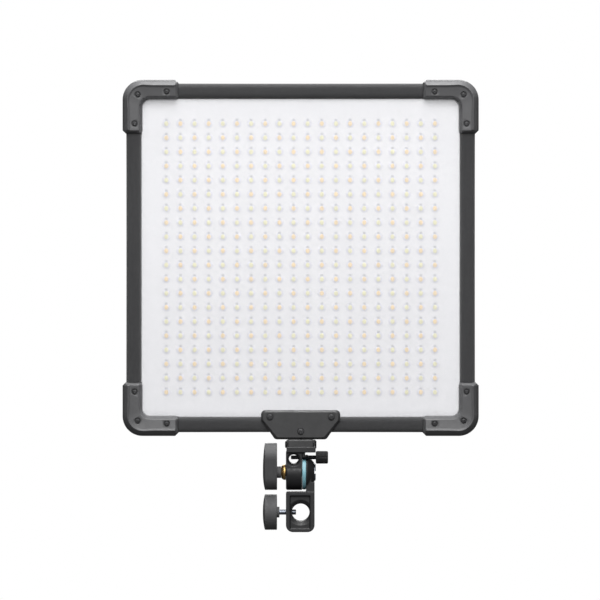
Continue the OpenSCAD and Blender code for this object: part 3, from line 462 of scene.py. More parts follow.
def to_mesh(bm, name, place=None):
    """Turns the work into a mesh, with its normals outward."""
    bmesh.ops.recalc_face_normals(bm, faces=bm.faces)
    mesh = bpy.data.meshes.new(name)
    bm.to_mesh(mesh)
    bm.free()
    if place is not None:
        mesh.transform(place)
    return mesh


def lofted(name, rings, place=None):
    bm = bmesh.new()
    loft(bm, rings)
    return to_mesh(bm, name, place)


def turned(name, profile, count=64, place=None, wave=None):
    """A solid turned about Z from (height, radius) pairs. wave(angle, height) is added to the radius."""
    rings = []
    for height, radius in profile:
        ring = []
        for i in range(count):
            angle = 2 * math.pi * i / count
            r = radius + (wave(angle, height) if wave else 0)
            ring.append((r * math.cos(angle), r * math.sin(angle), height))
        rings.append(ring)
    return lofted(name, rings, place)


def drill(r, start, end, place, count=40):
    """A plain cylinder to cut with, from start to end along the place's Z."""
    return turned("drill", [(start, r), (end, r)], count, place)


def block(name, low, high):
    """A plain box, used only to cut with or to be bevelled."""
    bm = bmesh.new()
    bmesh.ops.create_cube(bm, size=1)
    size = Vector(high) - Vector(low)
    centre = (Vector(high) + Vector(low)) / 2
    return to_mesh(bm, name, Matrix.Translation(centre) @ Matrix.Diagonal((*size, 1)))


def pointing(centre, axis):
    """The matrix that puts a solid drawn about +Z at centre, along axis."""
    turn = Vector((0, 0, 1)).rotation_difference(Vector(axis)).to_matrix().to_4x4()
    return Matrix.Translation(centre) @ turn


def after(mesh, kind, **settings):
    """The mesh after one modifier."""
    holder = bpy.data.objects.new("working", mesh)
    SCENE.collection.objects.link(holder)
    step = holder.modifiers.new("step", kind)
    for key, value in settings.items():
        setattr(step, key, value)
    made = bpy.data.meshes.new_from_object(holder.evaluated_get(bpy.context.evaluated_depsgraph_get()))
    bpy.data.objects.remove(holder)
    return made


def minus(mesh, *cutters):
    """The mesh with the cutters taken away."""
    for cutter in cutters:
        tool = bpy.data.objects.new("cutter", cutter)
        SCENE.collection.objects.link(tool)
        mesh = after(mesh, "BOOLEAN", operation="DIFFERENCE", solver="EXACT", object=tool)
        bpy.data.objects.remove(tool)
    return mesh


def softened(mesh, width, segments=2, angle=35):
    """The mesh with its sharp edges rounded."""
    return after(
        mesh, "BEVEL", width=width, segments=segments, limit_method="ANGLE", angle_limit=math.radians(angle)
    )


def merged(name, *meshes):
    bm = bmesh.new()
    for mesh in meshes:
        bm.from_mesh(mesh)
    made = bpy.data.meshes.new(name)
    bm.to_mesh(made)
    bm.free()
    return made


def repeated(name, mesh, places):
    """One mesh that holds a copy at each place."""
    bm = bmesh.new()
    for place in places:
        moved = mesh.copy()
        moved.transform(place)
        bm.from_mesh(moved)
        bpy.data.meshes.remove(moved)
    made = bpy.data.meshes.new(name)
    bm.to_mesh(made)
    bm.free()
    return made


def cast(node, voxel, rounds):
    """A node's own shape, with its edges rounded off as a casting's are."""
    mesh = after(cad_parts[node].data.copy(), "WELD", merge_threshold=0.001 * MM)
    mesh = after(mesh, "REMESH", mode="VOXEL", voxel_size=voxel, adaptivity=0)
    return after(mesh, "SMOOTH", factor=0.5, iterations=rounds)


def piece(name, mesh, material, body, slot, *nodes, smooth=32):
    """Adds a finished mesh as a piece that rides on a body and stands for its CAD nodes."""
    obj = bpy.data.objects.new(name, mesh)
    SCENE.collection.objects.link(obj)
    mesh.materials.clear()
    mesh.materials.append(material)
    mesh.shade_smooth()
    mesh.set_sharp_from_angle(angle=math.radians(smooth))
    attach(obj, body)
    if nodes:
        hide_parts(*nodes)
    return obj


def finish_node(node, material):
    """A CAD node that stays gets its finish."""
    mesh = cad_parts[node].data
    mesh.materials.clear()
    mesh.materials.append(material)


def thread_wave(pitch, depth):
    """A screw thread as a wave on a turned solid's radius."""

    def wave(angle, height):
        turn = (height / pitch - angle / (2 * math.pi)) % 1
        return -depth * abs(2 * turn - 1)

    return wave


def rod(name, radius, length, pitch, depth, place, count=32):
    """A threaded rod with a chamfered tip at each end."""
    steps = max(8, int(length / pitch * 5))
    chamfer = min(0.5 * MM, radius / 4)
    profile = [(0, radius - chamfer), (chamfer, radius)]
    profile += [(chamfer + (length - 2 * chamfer) * i / steps, radius) for i in range(1, steps)]
    profile += [(length - chamfer, radius), (length, radius - chamfer)]
    return turned(name, profile, count, place, thread_wave(pitch, depth))


def centre_of(node):
    low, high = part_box(node)
    return (low + high) / 2


def along_x(node):
    """For a part that lies along X: its length, its radius, and the matrix that puts +Z along it."""
    low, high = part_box(node)
    centre = centre_of(node)
    return high.x - low.x, (high.z - low.z) / 2, pointing((low.x, centre.y, centre.z), (1, 0, 0))


# ------------------------------------------------------------------ light mat

LED_COUNT = 20
LED_PITCH = 13.5 * MM
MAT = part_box("diffuser_sheet")
MAT_CENTRE = centre_of("diffuser_sheet")
BOARD_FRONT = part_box("led_board")[0].y


def led_places(odd):
    """Places of every second chip: the checkerboard's even or odd squares."""
    places = []
    for row in range(LED_COUNT):
        for column in range(LED_COUNT):
            if (row + column) % 2 != odd:
                continue
            x = MAT_CENTRE.x + (column - (LED_COUNT - 1) / 2) * LED_PITCH
            z = MAT_CENTRE.z - (row - (LED_COUNT - 1) / 2) * LED_PITCH
            places.append(Matrix.Translation((x, BOARD_FRONT, z)) @ Matrix.Rotation(math.pi / 2, 4, "X"))
    return places


def make_leds():
    half_w = 1.9 * MM
    half_h = 2.3 * MM
    package_h = 0.8 * MM
    package = softened(block("package", (-half_w, -half_h, 0), (half_w, half_h, package_h)), 0.2 * MM, 2)
    tall = Matrix.Diagonal((1, half_h / half_w, 1, 1))
    dome = [(0.7 * MM, 1.9 * MM), (0.9 * MM, 1.8 * MM), (1.05 * MM, 1.2 * MM), (1.1 * MM, 0.4 * MM)]
    phosphor = turned("phosphor", dome, 20, tall)
    disc = [(0, 4.2 * MM), (0.12 * MM, 4.2 * MM), (0.2 * MM, 4.0 * MM), (0.2 * MM, 1.0 * MM)]
    rim = turned("rim", disc, 28)
    resistor = block("resistor", (-1.4 * MM, 2.6 * MM, 0), (1.4 * MM, 4.7 * MM, 0.5 * MM))
    resistor = softened(resistor, 0.1 * MM, 1)
    every = led_places(0) + led_places(1)
    piece("led_packages", repeated("led_packages", package, every), PACKAGE, "head", "led_chips", "led_rows")
    piece("led_rims", repeated("led_rims", rim, every), RIM, "head", "led_board")
    piece("led_resistors", repeated("led_resistors", resistor, every), SMALL_PART, "head", "electronics")
    piece("led_phosphor_yellow", repeated("yellow", phosphor, led_places(0)), YELLOW, "head", "led_chips")
    piece("led_phosphor_orange", repeated("orange", phosphor, led_places(1)), ORANGE, "head", "led_chips")


def make_diffuser():
    """A milky sheet with a turned-back rim and the faint waves of a sheet held at its edges."""
    low, high = MAT
    count = 48
    rim = 1.2 * MM
    thick = 0.8 * MM
    bm = bmesh.new()
    rings = []
    half_w = (high.x - low.x) / 2
    for inset, y in ((0, high.y), (0, low.y + rim), (0.15 * MM, low.y + 0.4 * rim), (rim, low.y + 0.05 * MM)):
        ring = []
        for side in range(4):
            for i in range(count):
                u = -1 + 2 * i / count
                x, z = ((u, -1), (1, u), (-u, 1), (-1, -u))[side]
                ring.append((MAT_CENTRE.x + x * (half_w - inset), y, MAT_CENTRE.z + z * (half_w - inset)))
        rings.append(ring)
    loft(bm, rings, caps=False)
    inner = half_w - rim

    def front(u, v):
        fade = (1 - u ** 8) * (1 - v ** 8)
        wave = noise.noise(Vector((u * 2.2, v * 2.2, 4.0))) * 0.25 * MM
        y = low.y + 0.05 * MM + fade * (0.15 * MM + 0.5 * wave)
        return (MAT_CENTRE.x + u * inner, y, MAT_CENTRE.z + v * inner)

    add_sheet(bm, count, front)
    bmesh.ops.remove_doubles(bm, verts=bm.verts, dist=0.001 * MM)
    mesh = to_mesh(bm, "diffuser")
    mesh = after(mesh, "SOLIDIFY", thickness=0.5 * thick, offset=-1)
    piece("diffuser", mesh, FILM, "head", "diffuser", "diffuser_sheet", smooth=60)


def make_back_cloth():
    """The cloth back: a stretched sheet with a double row of stitches and shallow puckers along them."""
    low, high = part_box("back_cloth")
    count = 96
    half = (high.x - low.x) / 2
    seam = 9 * MM
    thick = 0.45 * MM

    def surface(u, v):
        x, z = u * half, v * half
        from_edge = half - max(abs(x), abs(z))
        groove = math.exp(-(((from_edge - seam) / (1.6 * MM)) ** 2))
        along = z if abs(x) > abs(z) else x
        pucker = 0.5 + 0.5 * math.sin(2 * math.pi * along / (14 * MM))
        near = math.exp(-from_edge / (16 * MM))
        slack = noise.noise(Vector((u * 3, v * 3, 9.0))) * 0.12 * MM
        y = high.y - 0.22 * MM - 0.16 * MM * groove * (0.6 + 0.4 * pucker) + slack * (1 - near) * 0.8
        return (MAT_CENTRE.x + x, y, MAT_CENTRE.z + z)

    bm = bmesh.new()
    add_sheet(bm, count, surface, flip=True)
    mesh = bpy.data.meshes.new("back_cloth_sheet")
    bm.to_mesh(mesh)
    bm.free()
    mesh = after(mesh, "SOLIDIFY", thickness=thick, offset=0)
    cloth = piece("back_cloth_sheet", mesh, BACK, "head", "back_cloth", "back_cloth", smooth=60)
    rows = stitch_rows(half - seam + 1.2 * MM, high.y)
    stitches = piece("back_stitching", rows, BACK_THREAD, "head", "back_cloth")


def stitch_rows(reach, back):
    """Two square rows of short raised stitches on the cloth back."""
    stitch = 3.2 * MM
    gap = 1.0 * MM
    radius = 0.22 * MM
    tip = 0.1 * MM
    ease = 0.25 * MM
    profile = [(0, tip), (ease, radius), (stitch / 2, 1.1 * radius), (stitch - ease, radius), (stitch, tip)]
    one = turned("stitch", profile, 6)
    places = []
    for side_reach in (reach, reach - 2.4 * MM):
        count = int(2 * side_reach // (stitch + gap))
        for side in range(4):
            turn = Matrix.Rotation(side * math.pi / 2, 4, "Y")
            for i in range(count):
                start = -side_reach + (i + 0.5) * 2 * side_reach / count - stitch / 2
                spot = turn @ Matrix.Translation((side_reach, 0, start))
                places.append(Matrix.Translation((MAT_CENTRE.x, back - 0.3 * MM, MAT_CENTRE.z)) @ spot)
    return repeated("back_stitching", one, places)


# ------------------------------------------------------------------ frame

BOW = 0.1 * MM


def make_sleeve(side):
    """One edge sleeve: a soft tube that bows in a little between its corner covers, with a seam behind."""
    node = "edge_sleeve_" + side
    low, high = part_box(node)
    middle = (low + high) / 2
    flat = side in ("top", "bottom")
    width = (high.z - low.z) if flat else (high.x - low.x)
    length = (high.x - low.x) if flat else (high.z - low.z)
    thick = high.y - low.y
    inward = -1 if side in ("top", "right") else 1
    section = rounded_rectangle(width, thick, 4.2 * MM, 8)
    steps = 60
    rings = []
    for i in range(steps + 1):
        u = -1 + 2 * i / steps
        along = u * length / 2
        bow = BOW * (1 - u * u)
        ring = []
        for a, b in section:
            soft = noise.noise(Vector((along * 45, a * 160, b * 160 + inward * 7))) * 0.18 * MM
            crown = 0.35 * MM * (1 - (2 * a / width) ** 2) * (1 if b > 0 else -1)
            edge = 1 if abs(b) > thick * 0.45 else 0
            seam = 0.5 * MM * math.exp(-((a / (0.9 * MM)) ** 2)) if b > thick * 0.45 else 0
            a2 = a + inward * bow
            b2 = b - edge * (0.35 * MM * (1 if b > 0 else -1) - crown) - seam
            b2 += soft * (1 if b < 0 else -1) * 0.5
            b2 = max(-thick / 2, min(thick / 2, b2))
            if flat:
                ring.append((middle.x + along, middle.y + b2, middle.z + a2))
            else:
                ring.append((middle.x + a2, middle.y + b2, middle.z + along))
        rings.append(ring)
    mesh = lofted(node, rings)
    cloth = SLEEVE_FLAT if flat else SLEEVE_UP
    sleeve = piece(node + "_fabric", mesh, cloth, "head", "sleeve_fabric", node, smooth=50)


LEG_W = 19.5 * MM
OUTER_R = 19 * MM
INNER_R = 7 * MM
COVER_WALL = 4.0 * MM
STEP_WALL = 1.6 * MM
END_BEVEL = 3.6 * MM
END_CUT = 3.3 * MM


def cover_profile(thick):
    """The cover's section: (1 at the inner wall, inset, height). A low ridge runs round its sunk face."""
    knee = STEP_WALL + 0.6 * (thick - STEP_WALL)
    sunk = 1.5 * MM
    return [
        (0, 0.0, 0.0),
        (0, 0.0, 0.5 * STEP_WALL),
        (0, 0.0, STEP_WALL - 0.6 * MM),
        (0, 0.2 * MM, STEP_WALL + 0.1 * MM),
        (0, 2.5 * MM, knee - 0.2 * MM),
        (0, 2.8 * MM, knee + 0.1 * MM),
        (0, 4.9 * MM, thick - 0.45 * MM),
        (0, 5.2 * MM, thick - 0.15 * MM),
        (0, 5.6 * MM, thick),
        (0, 5.9 * MM, thick - 0.15 * MM),
        (0, 7.2 * MM, thick - sunk + 0.1 * MM),
        (0, 7.6 * MM, thick - sunk - 0.05 * MM),
        (1, 4.2 * MM, thick - sunk - 0.05 * MM),
        (1, 3.7 * MM, thick - sunk - 0.2 * MM),
        (1, 3.3 * MM, thick - sunk - 0.7 * MM),
        (1, 0.3 * MM, STEP_WALL + 0.3 * MM),
        (1, 0.0, STEP_WALL - 0.5 * MM),
        (1, 0.0, 0.5 * STEP_WALL),
        (1, 0.0, 0.0),
    ]


def cover_section(outer, inner, profile, end):
    """One section between the outer and inner edge, held down near the leg's end by its steep bevel."""
    way = (inner - outer).normalized()
    cut = max(0.0, END_CUT - end)
    top = profile[8][2]
    limit = COVER_WALL + (top - COVER_WALL) * min(1.0, end / END_BEVEL) ** 0.85
    ring = []
    for share, inset, height in profile:
        pull = max(inset, cut * (0.35 if share else 1))
        base = inner - way * pull if share else outer + way * pull
        ring.append((base.x, base.y, min(height, limit)))
    return ring


def leg_stations(run, begin):
    """Places along one leg from its end to the turn, each with its distance from the end."""
    close = [0.0, 0.15, 0.45, 0.9, 1.5, 2.2, 2.9, 3.3, 3.6, 4.0]
    stations = [(run - end * MM, end * MM) for end in close]
    last = stations[-1][0]
    steps = 6
    return stations + [(last + (begin - last) * i / steps, run) for i in range(1, steps)]


def cover_mesh(run_a, run_b, thick):
    """One corner cover with legs of run_a along X and run_b along Y, its ridge at z = thick."""
    profile = cover_profile(thick)
    begin = OUTER_R + INNER_R - 0.5 * MM
    rings = []
    for x, end in leg_stations(run_a, begin):
        rings.append(cover_section(Vector((x, 0, 0)), Vector((x, LEG_W, 0)), profile, end))
    turn_steps = 20
    inner_centre = LEG_W + INNER_R
    for i in range(turn_steps + 1):
        angle = math.radians(270 - 90 * i / turn_steps)
        way = Vector((math.cos(angle), math.sin(angle), 0))
        outer = Vector((OUTER_R, OUTER_R, 0)) + OUTER_R * way
        inner = Vector((inner_centre, inner_centre, 0)) + INNER_R * way
        rings.append(cover_section(outer, inner, profile, run_a))
    for y, end in reversed(leg_stations(run_b, begin)):
        rings.append(cover_section(Vector((0, y, 0)), Vector((LEG_W, y, 0)), profile, end))
    return lofted("cover", rings)


SCREW_CORNER = 14.6 * MM
SCREW_ALONG = 42.3 * MM
SCREW_EDGE = 11.8 * MM
SCREW_SPOTS = (
    (SCREW_CORNER, SCREW_CORNER),
    (SCREW_ALONG, SCREW_EDGE),
    (SCREW_EDGE, SCREW_ALONG),
)


def corner_matrix(sx, sz, front):
    """Puts a cover drawn at the origin with legs along +X and +Y at one corner of the panel."""
    low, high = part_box("corner_front_top_left")
    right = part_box("corner_front_top_right")[1].x
    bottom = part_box("corner_front_bottom_left")[0].z
    middle_y = high.y
    x = low.x if sx < 0 else right
    z = high.z if sz > 0 else bottom
    along = Vector((-sx, 0, 0))
    up = Vector((0, 0, -sz))
    out = Vector((0, -1 if front else 1, 0))
    turn = Matrix((along, up, out)).transposed().to_4x4()
    return Matrix.Translation((x, middle_y, z)) @ turn


def screw_head(radius, height):
    """A pan head with a cross recess: its seat is at z = 0."""
    profile = [
        (0, radius * 0.96),
        (0.12 * height, radius),
        (0.5 * height, radius),
        (0.8 * height, radius * 0.88),
        (height, radius * 0.62),
        (1.05 * height, radius * 0.2),
    ]
    head = turned("head", profile, 32)
    arm = radius * 0.62
    half = radius * 0.13
    for turn in (0, math.pi / 2):
        slot = block("slot", (-arm, -half, height * 0.3), (arm, half, 3 * height))
        slot.transform(Matrix.Rotation(turn + 0.4, 4, "Z"))
        head = minus(head, slot)
    return softened(head, 0.08 * MM, 1)


def make_corners():
    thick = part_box("corner_front_top_left")
    head_seat = thick[1].y - thick[0].y - 3.3 * MM
    recess_r = 3.2 * MM
    for v, sz in (("top", 1), ("bottom", -1)):
        for h, sx in (("left", -1), ("right", 1)):
            for face, front in (("front", True), ("rear", False)):
                node = f"corner_{face}_{v}_{h}"
                low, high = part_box(node)
                mesh = cover_mesh(high.x - low.x, high.z - low.z, high.y - low.y)
                if front:
                    spots = [Matrix.Translation((x, y, 0)) for x, y in SCREW_SPOTS]
                    mesh = minus(mesh, *[drill(recess_r, head_seat, 20 * MM, spot) for spot in spots])
                place = corner_matrix(sx, sz, front)
                mesh.transform(place)
                if place.determinant() < 0:
                    mesh.flip_normals()
                mesh = softened(mesh, 0.18 * MM, 2, 50)
                piece(node + "_cover", mesh, COVER, "head", "corner_plastic", node, smooth=40)
    head = screw_head(2.35 * MM, 1.4 * MM)
    places = [
        corner_matrix(sx, sz, True) @ Matrix.Translation((x, y, head_seat)) @ Matrix.Rotation(x * 900, 4, "Z")
        for sx in (-1, 1)
        for sz in (-1, 1)
        for x, y in SCREW_SPOTS
    ]
    heads = repeated("corner_screw_heads", head, places)
    piece("corner_screw_heads", heads, SCREW_BLACK, "head", "black_steel", "corner_screws")


make_leds()
make_diffuser()
make_back_cloth()
for edge in ("top", "bottom", "left", "right"):
    make_sleeve(edge)
make_corners()

# ------------------------------------------------------------------ panel clamp and bracket

BOLT_PITCH = 1.25 * MM
SPIGOT_PITCH = 0.8 * MM
UMBRELLA_PITCH = 0.7 * MM


def plate_outline(half, low_half, top, shoulder, bottom, r, inset):
    """The clamp plate's outline: upright shoulders, then slanted sides down to a narrower foot."""
    half, low_half, top, bottom = half - inset, low_half - inset, top - inset, bottom + inset
    eased = ((2.2, -2.0), (1.3, -1.05), (0.6, -0.2), (0.2, 0.7), (0.0, 1.8))
    right = [(half - x * MM, shoulder + y * MM) for x, y in eased]
    right += rounded_corner(half - r, top - r, r, 0, 90, 6)
    left = [(-x, y) for x, y in right[::-1]]
    foot_right = rounded_corner(low_half - 0.4 * r, bottom + r, r, -90, 45, 6)
    foot_left = [(-x, y) for x, y in foot_right[::-1]]
    return right + left + foot_left + foot_right


def clamp_plate_mesh():
    low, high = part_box("clamp_front_plate")
    centre_x = (low.x + high.x) / 2
    half = (high.x - low.x) / 2
    low_half = 24 * MM
    shoulder = high.z - 10 * MM
    rings = []
    for inset, y in (
        (0.0, high.y),
        (0.0, low.y + 2.1 * MM),
        (0.1 * MM, low.y + 1.9 * MM),
        (1.9 * MM, low.y + 0.1 * MM),
        (2.1 * MM, low.y),
    ):
        outline = plate_outline(half, low_half, high.z, shoulder, low.z, 4.2 * MM, inset)
        rings.append([(centre_x + x, y, z) for x, z in outline])
    return lofted("clamp_plate", rings)


def make_clamp():
    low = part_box("clamp_front_plate")[0]
    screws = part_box("clamp_screws")
    head_r = 3.2 * MM
    spots = [
        (screws[0].x + head_r, screws[1].z - head_r),
        (screws[1].x - head_r, screws[1].z - head_r),
        ((screws[0].x + screws[1].x) / 2, screws[0].z + head_r),
    ]
    mesh = clamp_plate_mesh()
    recess = 1.2 * MM
    seat = [(0, head_r + 0.35 * MM), (recess + MM, head_r + 0.3 * MM)]
    for x, z in spots:
        mesh = minus(mesh, turned("recess", seat, 40, pointing((x, low.y - MM, z), (0, 1, 0))))
    place = pointing((0, low.y, low.z + 0.6 * MM), (0, 1, 0))
    notch = drill(0.9 * MM, -MM, 5 * MM, place, 16)
    mesh = minus(mesh, notch)
    piece("clamp_front_cover", mesh, COATED, "head", "clamp_metal", "clamp_front_plate", smooth=15)
    head = screw_head(head_r * 0.96, 1.3 * MM)
    places = [pointing((x, low.y + recess, z), (0, -1, 0)) for x, z in spots]
    heads = repeated("clamp_screw_heads", head, places)
    piece("clamp_screw_heads", heads, SCREW_BLACK, "head", "black_steel", "clamp_screws")
    piece("clamp_rear_cover", cast("clamp_rear_plate", 0.5 * MM, 5), COATED, "head", "clamp_metal",
          "clamp_rear_plate", smooth=60)


def make_bracket():
    piece("head_casting", cast("head_arm", 0.4 * MM, 5), CASTING, "head", "casting", "head_arm", smooth=70)
    piece("base_casting", cast("base_arm", 0.4 * MM, 5), CASTING, "base", "casting", "base_arm", smooth=70)


def make_friction_ring():
    length, r, place = along_x("friction_ring")
    ease = 0.45 * MM
    profile = [(0, r - 1.5 * ease), (0.1 * MM, r - ease), (ease, r - 0.1 * MM), (length / 2, r),
               (length - ease, r - 0.1 * MM), (length - 0.1 * MM, r - ease), (length, r - 1.5 * ease)]
    ring = turned("ring", profile, 96, place)
    ring = minus(ring, drill(4.2 * MM, -MM, length + MM, place, 48))
    piece("friction_ring_disc", ring, RING, "base", "friction_ring", "friction_ring")


def make_cross_pin():
    length, r, place = along_x("head_cross_pin")
    left_r = 3.3 * MM
    pin_r = 2 * MM
    profile = [
        (0, left_r * 0.6), (0.3 * MM, left_r * 0.9), (0.7 * MM, left_r), (1.35 * MM, left_r),
        (1.4 * MM, pin_r), (length - 0.82 * MM, pin_r), (length - 0.8 * MM, r * 0.98),
        (length - 0.3 * MM, r), (length, r * 0.85),
    ]
    pin = turned("pin", profile, 48, place)
    piece("head_cross_pin_turned", pin, BLACK_STEEL, "head", "black_steel", "head_cross_pin")


def make_tilt_bolt():
    length, head_r, place = along_x("tilt_bolt")
    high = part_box("tilt_bolt")[1]
    centre = centre_of("tilt_bolt")
    shaft_r = 3.9 * MM
    head_t = 1.6 * MM
    shaft = rod("shaft", shaft_r, length - head_t, BOLT_PITCH, 0.35 * MM, place, 40)
    profile = [(-0.05 * MM, head_r * 0.97), (0.2 * MM, head_r), (0.9 * MM, head_r),
               (1.35 * MM, head_r * 0.93), (head_t, head_r * 0.8)]
    head = turned("head", profile, 64, pointing((high.x - head_t, centre.y, centre.z), (1, 0, 0)))
    slot = block("slot", (high.x - 1.2 * MM, centre.y - 12 * MM, centre.z - 1.45 * MM),
                 (high.x + MM, centre.y + 12 * MM, centre.z + 1.45 * MM))
    head = softened(minus(head, slot), 0.1 * MM, 1)
    piece("tilt_bolt_turned", merged("tilt_bolt", shaft, head), STEEL, "base", "steel", "tilt_bolt")


def make_washer():
    t, r, place = along_x("tilt_washer")
    bore = 4.05 * MM
    profile = [(t, r * 0.9), (t * 0.97, r * 0.97), (t * 0.85, r), (t * 0.62, r * 0.985), (t * 0.38, r * 0.93),
               (t * 0.16, r * 0.83), (t * 0.04, r * 0.74), (0, r * 0.66)]
    washer = turned("washer", profile[::-1], 72, place)
    washer = minus(washer, drill(bore, -MM, t + MM, place))
    piece("tilt_washer_turned", washer, BRASS, "washer_carrier", "brass", "tilt_washer", smooth=60)


# ------------------------------------------------------------------ knobs

KNOB_BODY_W = 13.5 * MM
RIB_COUNT = 9
RIB_DEPTH = 0.16 * MM
DOME = 2.0 * MM
LEVER_LEAN = math.radians(30)


def egg(reach, r, tip_r, count=96):
    """Egg outline: a circle of r about the axis and one of tip_r above it, with their tangents."""
    outline = []
    for i in range(count):
        angle = 2 * math.pi * i / count
        direction = Vector((math.cos(angle), math.sin(angle)))
        support_low = r
        support_high = reach * direction.y + tip_r
        if support_high > support_low:
            outline.append((tip_r * direction.x, reach + tip_r * direction.y))
        else:
            outline.append((r * direction.x, r * direction.y))
    return outline


def knob_rings(outline, width, dome):
    """Rings of a knob drawn along +Z from its domed outer face: dome, finely ribbed rim, flat inner face."""
    rings = []

    def ring(share, height, pull=0.0):
        points = []
        for x, y in outline:
            size = math.hypot(x, y)
            factor = share - pull / size
            points.append((x * factor, y * factor, height))
        rings.append(points)

    for share in (0.04, 0.2, 0.4, 0.6, 0.75, 0.87, 0.95):
        ring(share, dome * share ** 2.4)
    ring(1.0, dome * 0.98, 0.25 * MM)
    rim_from = dome + 0.3 * MM
    rim_to = width - 0.5 * MM
    steps = RIB_COUNT * 4
    for i in range(steps + 1):
        wave = 0.5 - 0.5 * math.cos(2 * math.pi * i * RIB_COUNT / steps)
        ring(1.0, rim_from + (rim_to - rim_from) * i / steps, RIB_DEPTH * wave)
    ring(1.0, width - 0.1 * MM, 0.3 * MM)
    ring(1.0, width, 0.7 * MM)
    for share in (0.8, 0.5, 0.36):
        ring(share, width)
    return rings


def collar(name, r, start, length, centre):
    profile = [(start, r), (start + length - 0.4 * MM, r), (start + length - 0.1 * MM, r - 0.15 * MM),
               (start + length, r - 0.5 * MM)]
    return turned(name, profile, 48, centre)


ALONG_X = Matrix(((0, 0, 1, 0), (1, 0, 0, 0), (0, 1, 0, 0), (0, 0, 0, 1)))


def make_tilt_lever():
    low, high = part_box("tilt_lever")
    axis_y = centre_of("tilt_washer").y
    axis_z = centre_of("tilt_washer").z
    body_w = KNOB_BODY_W
    r = axis_z - low.z
    tip_r = 12.6 * MM
    reach = (high.z - axis_z - tip_r) / math.cos(LEVER_LEAN)
    lean = Matrix.Rotation(LEVER_LEAN, 4, "X")
    place = Matrix.Translation((low.x, axis_y, axis_z)) @ lean @ ALONG_X
    body = lofted("lever", knob_rings(egg(reach, r, tip_r), body_w, DOME), place)
    neck = collar("collar", 5.6 * MM, body_w - 1.2 * MM, high.x - low.x - body_w + 1.2 * MM, place)
    lever = merged("tilt_lever", body, neck)
    piece("tilt_lever_moulding", lever, KNOB, "tilt_lever", "knob_plastic", "tilt_lever", smooth=40)


def make_spigot_knob():
    w, r, place = along_x("spigot_knob")
    body_w = KNOB_BODY_W
    body = lofted("knob", knob_rings(circle(r, 96), body_w, DOME), place)
    neck = collar("collar", 5.2 * MM, body_w - 1.2 * MM, w - body_w + 1.2 * MM, place)
    knob = merged("spigot_knob", body, neck)
    piece("spigot_knob_moulding", knob, KNOB, "spigot_knob", "knob_plastic", "spigot_knob", smooth=40)
    length, screw_r, place = along_x("spigot_screw")
    screw = rod("spigot_screw", screw_r, length, SPIGOT_PITCH, 0.04 * MM, place)
    piece("spigot_screw_threaded", screw, STEEL, "spigot_screw", "steel", "spigot_screw")


def make_umbrella_knob():
    w, r, place = along_x("umbrella_knob")
    ease = 0.8 * MM
    teeth = 28

    def flutes(angle, height):
        ends = min(1.0, max(0.0, min(height, w - height) / ease - 0.3))
        return -0.38 * MM * ends * abs(math.sin(teeth / 2 * angle)) ** 0.7

    profile = [(0, r - 1.6 * ease), (0.05 * MM, r - 1.2 * ease), (0.4 * ease, r - 0.6 * ease)]
    profile.append((ease, r - 0.1 * MM))
    profile += [(ease + 0.25 * MM + (w - 2 * ease - 0.5 * MM) * i / 6, r) for i in range(7)]
    profile += [(w - h, radius) for h, radius in profile[3::-1]]
    knob = turned("knob", profile, teeth * 8, place, flutes)
    groove = turned("dish", [(w - 0.5 * MM, r * 0.55), (w + MM, r * 0.6)], 48, place)
    knob = minus(knob, groove)
    piece("umbrella_knob_knurled", knob, KNOB_BLACK, "umbrella_knob", "knob_plastic", "umbrella_knob")
    length, screw_r, place = along_x("umbrella_screw")
    screw = rod("umbrella_screw", screw_r, length, UMBRELLA_PITCH, 0.24 * MM, place)
    piece("umbrella_screw_threaded", screw, BLACK_STEEL, "umbrella_screw", "black_steel", "umbrella_screw")


make_clamp()
make_bracket()
make_friction_ring()
make_cross_pin()
make_tilt_bolt()
make_washer()
make_tilt_lever()
make_spigot_knob()
make_umbrella_knob()

# ------------------------------------------------------------------ control unit


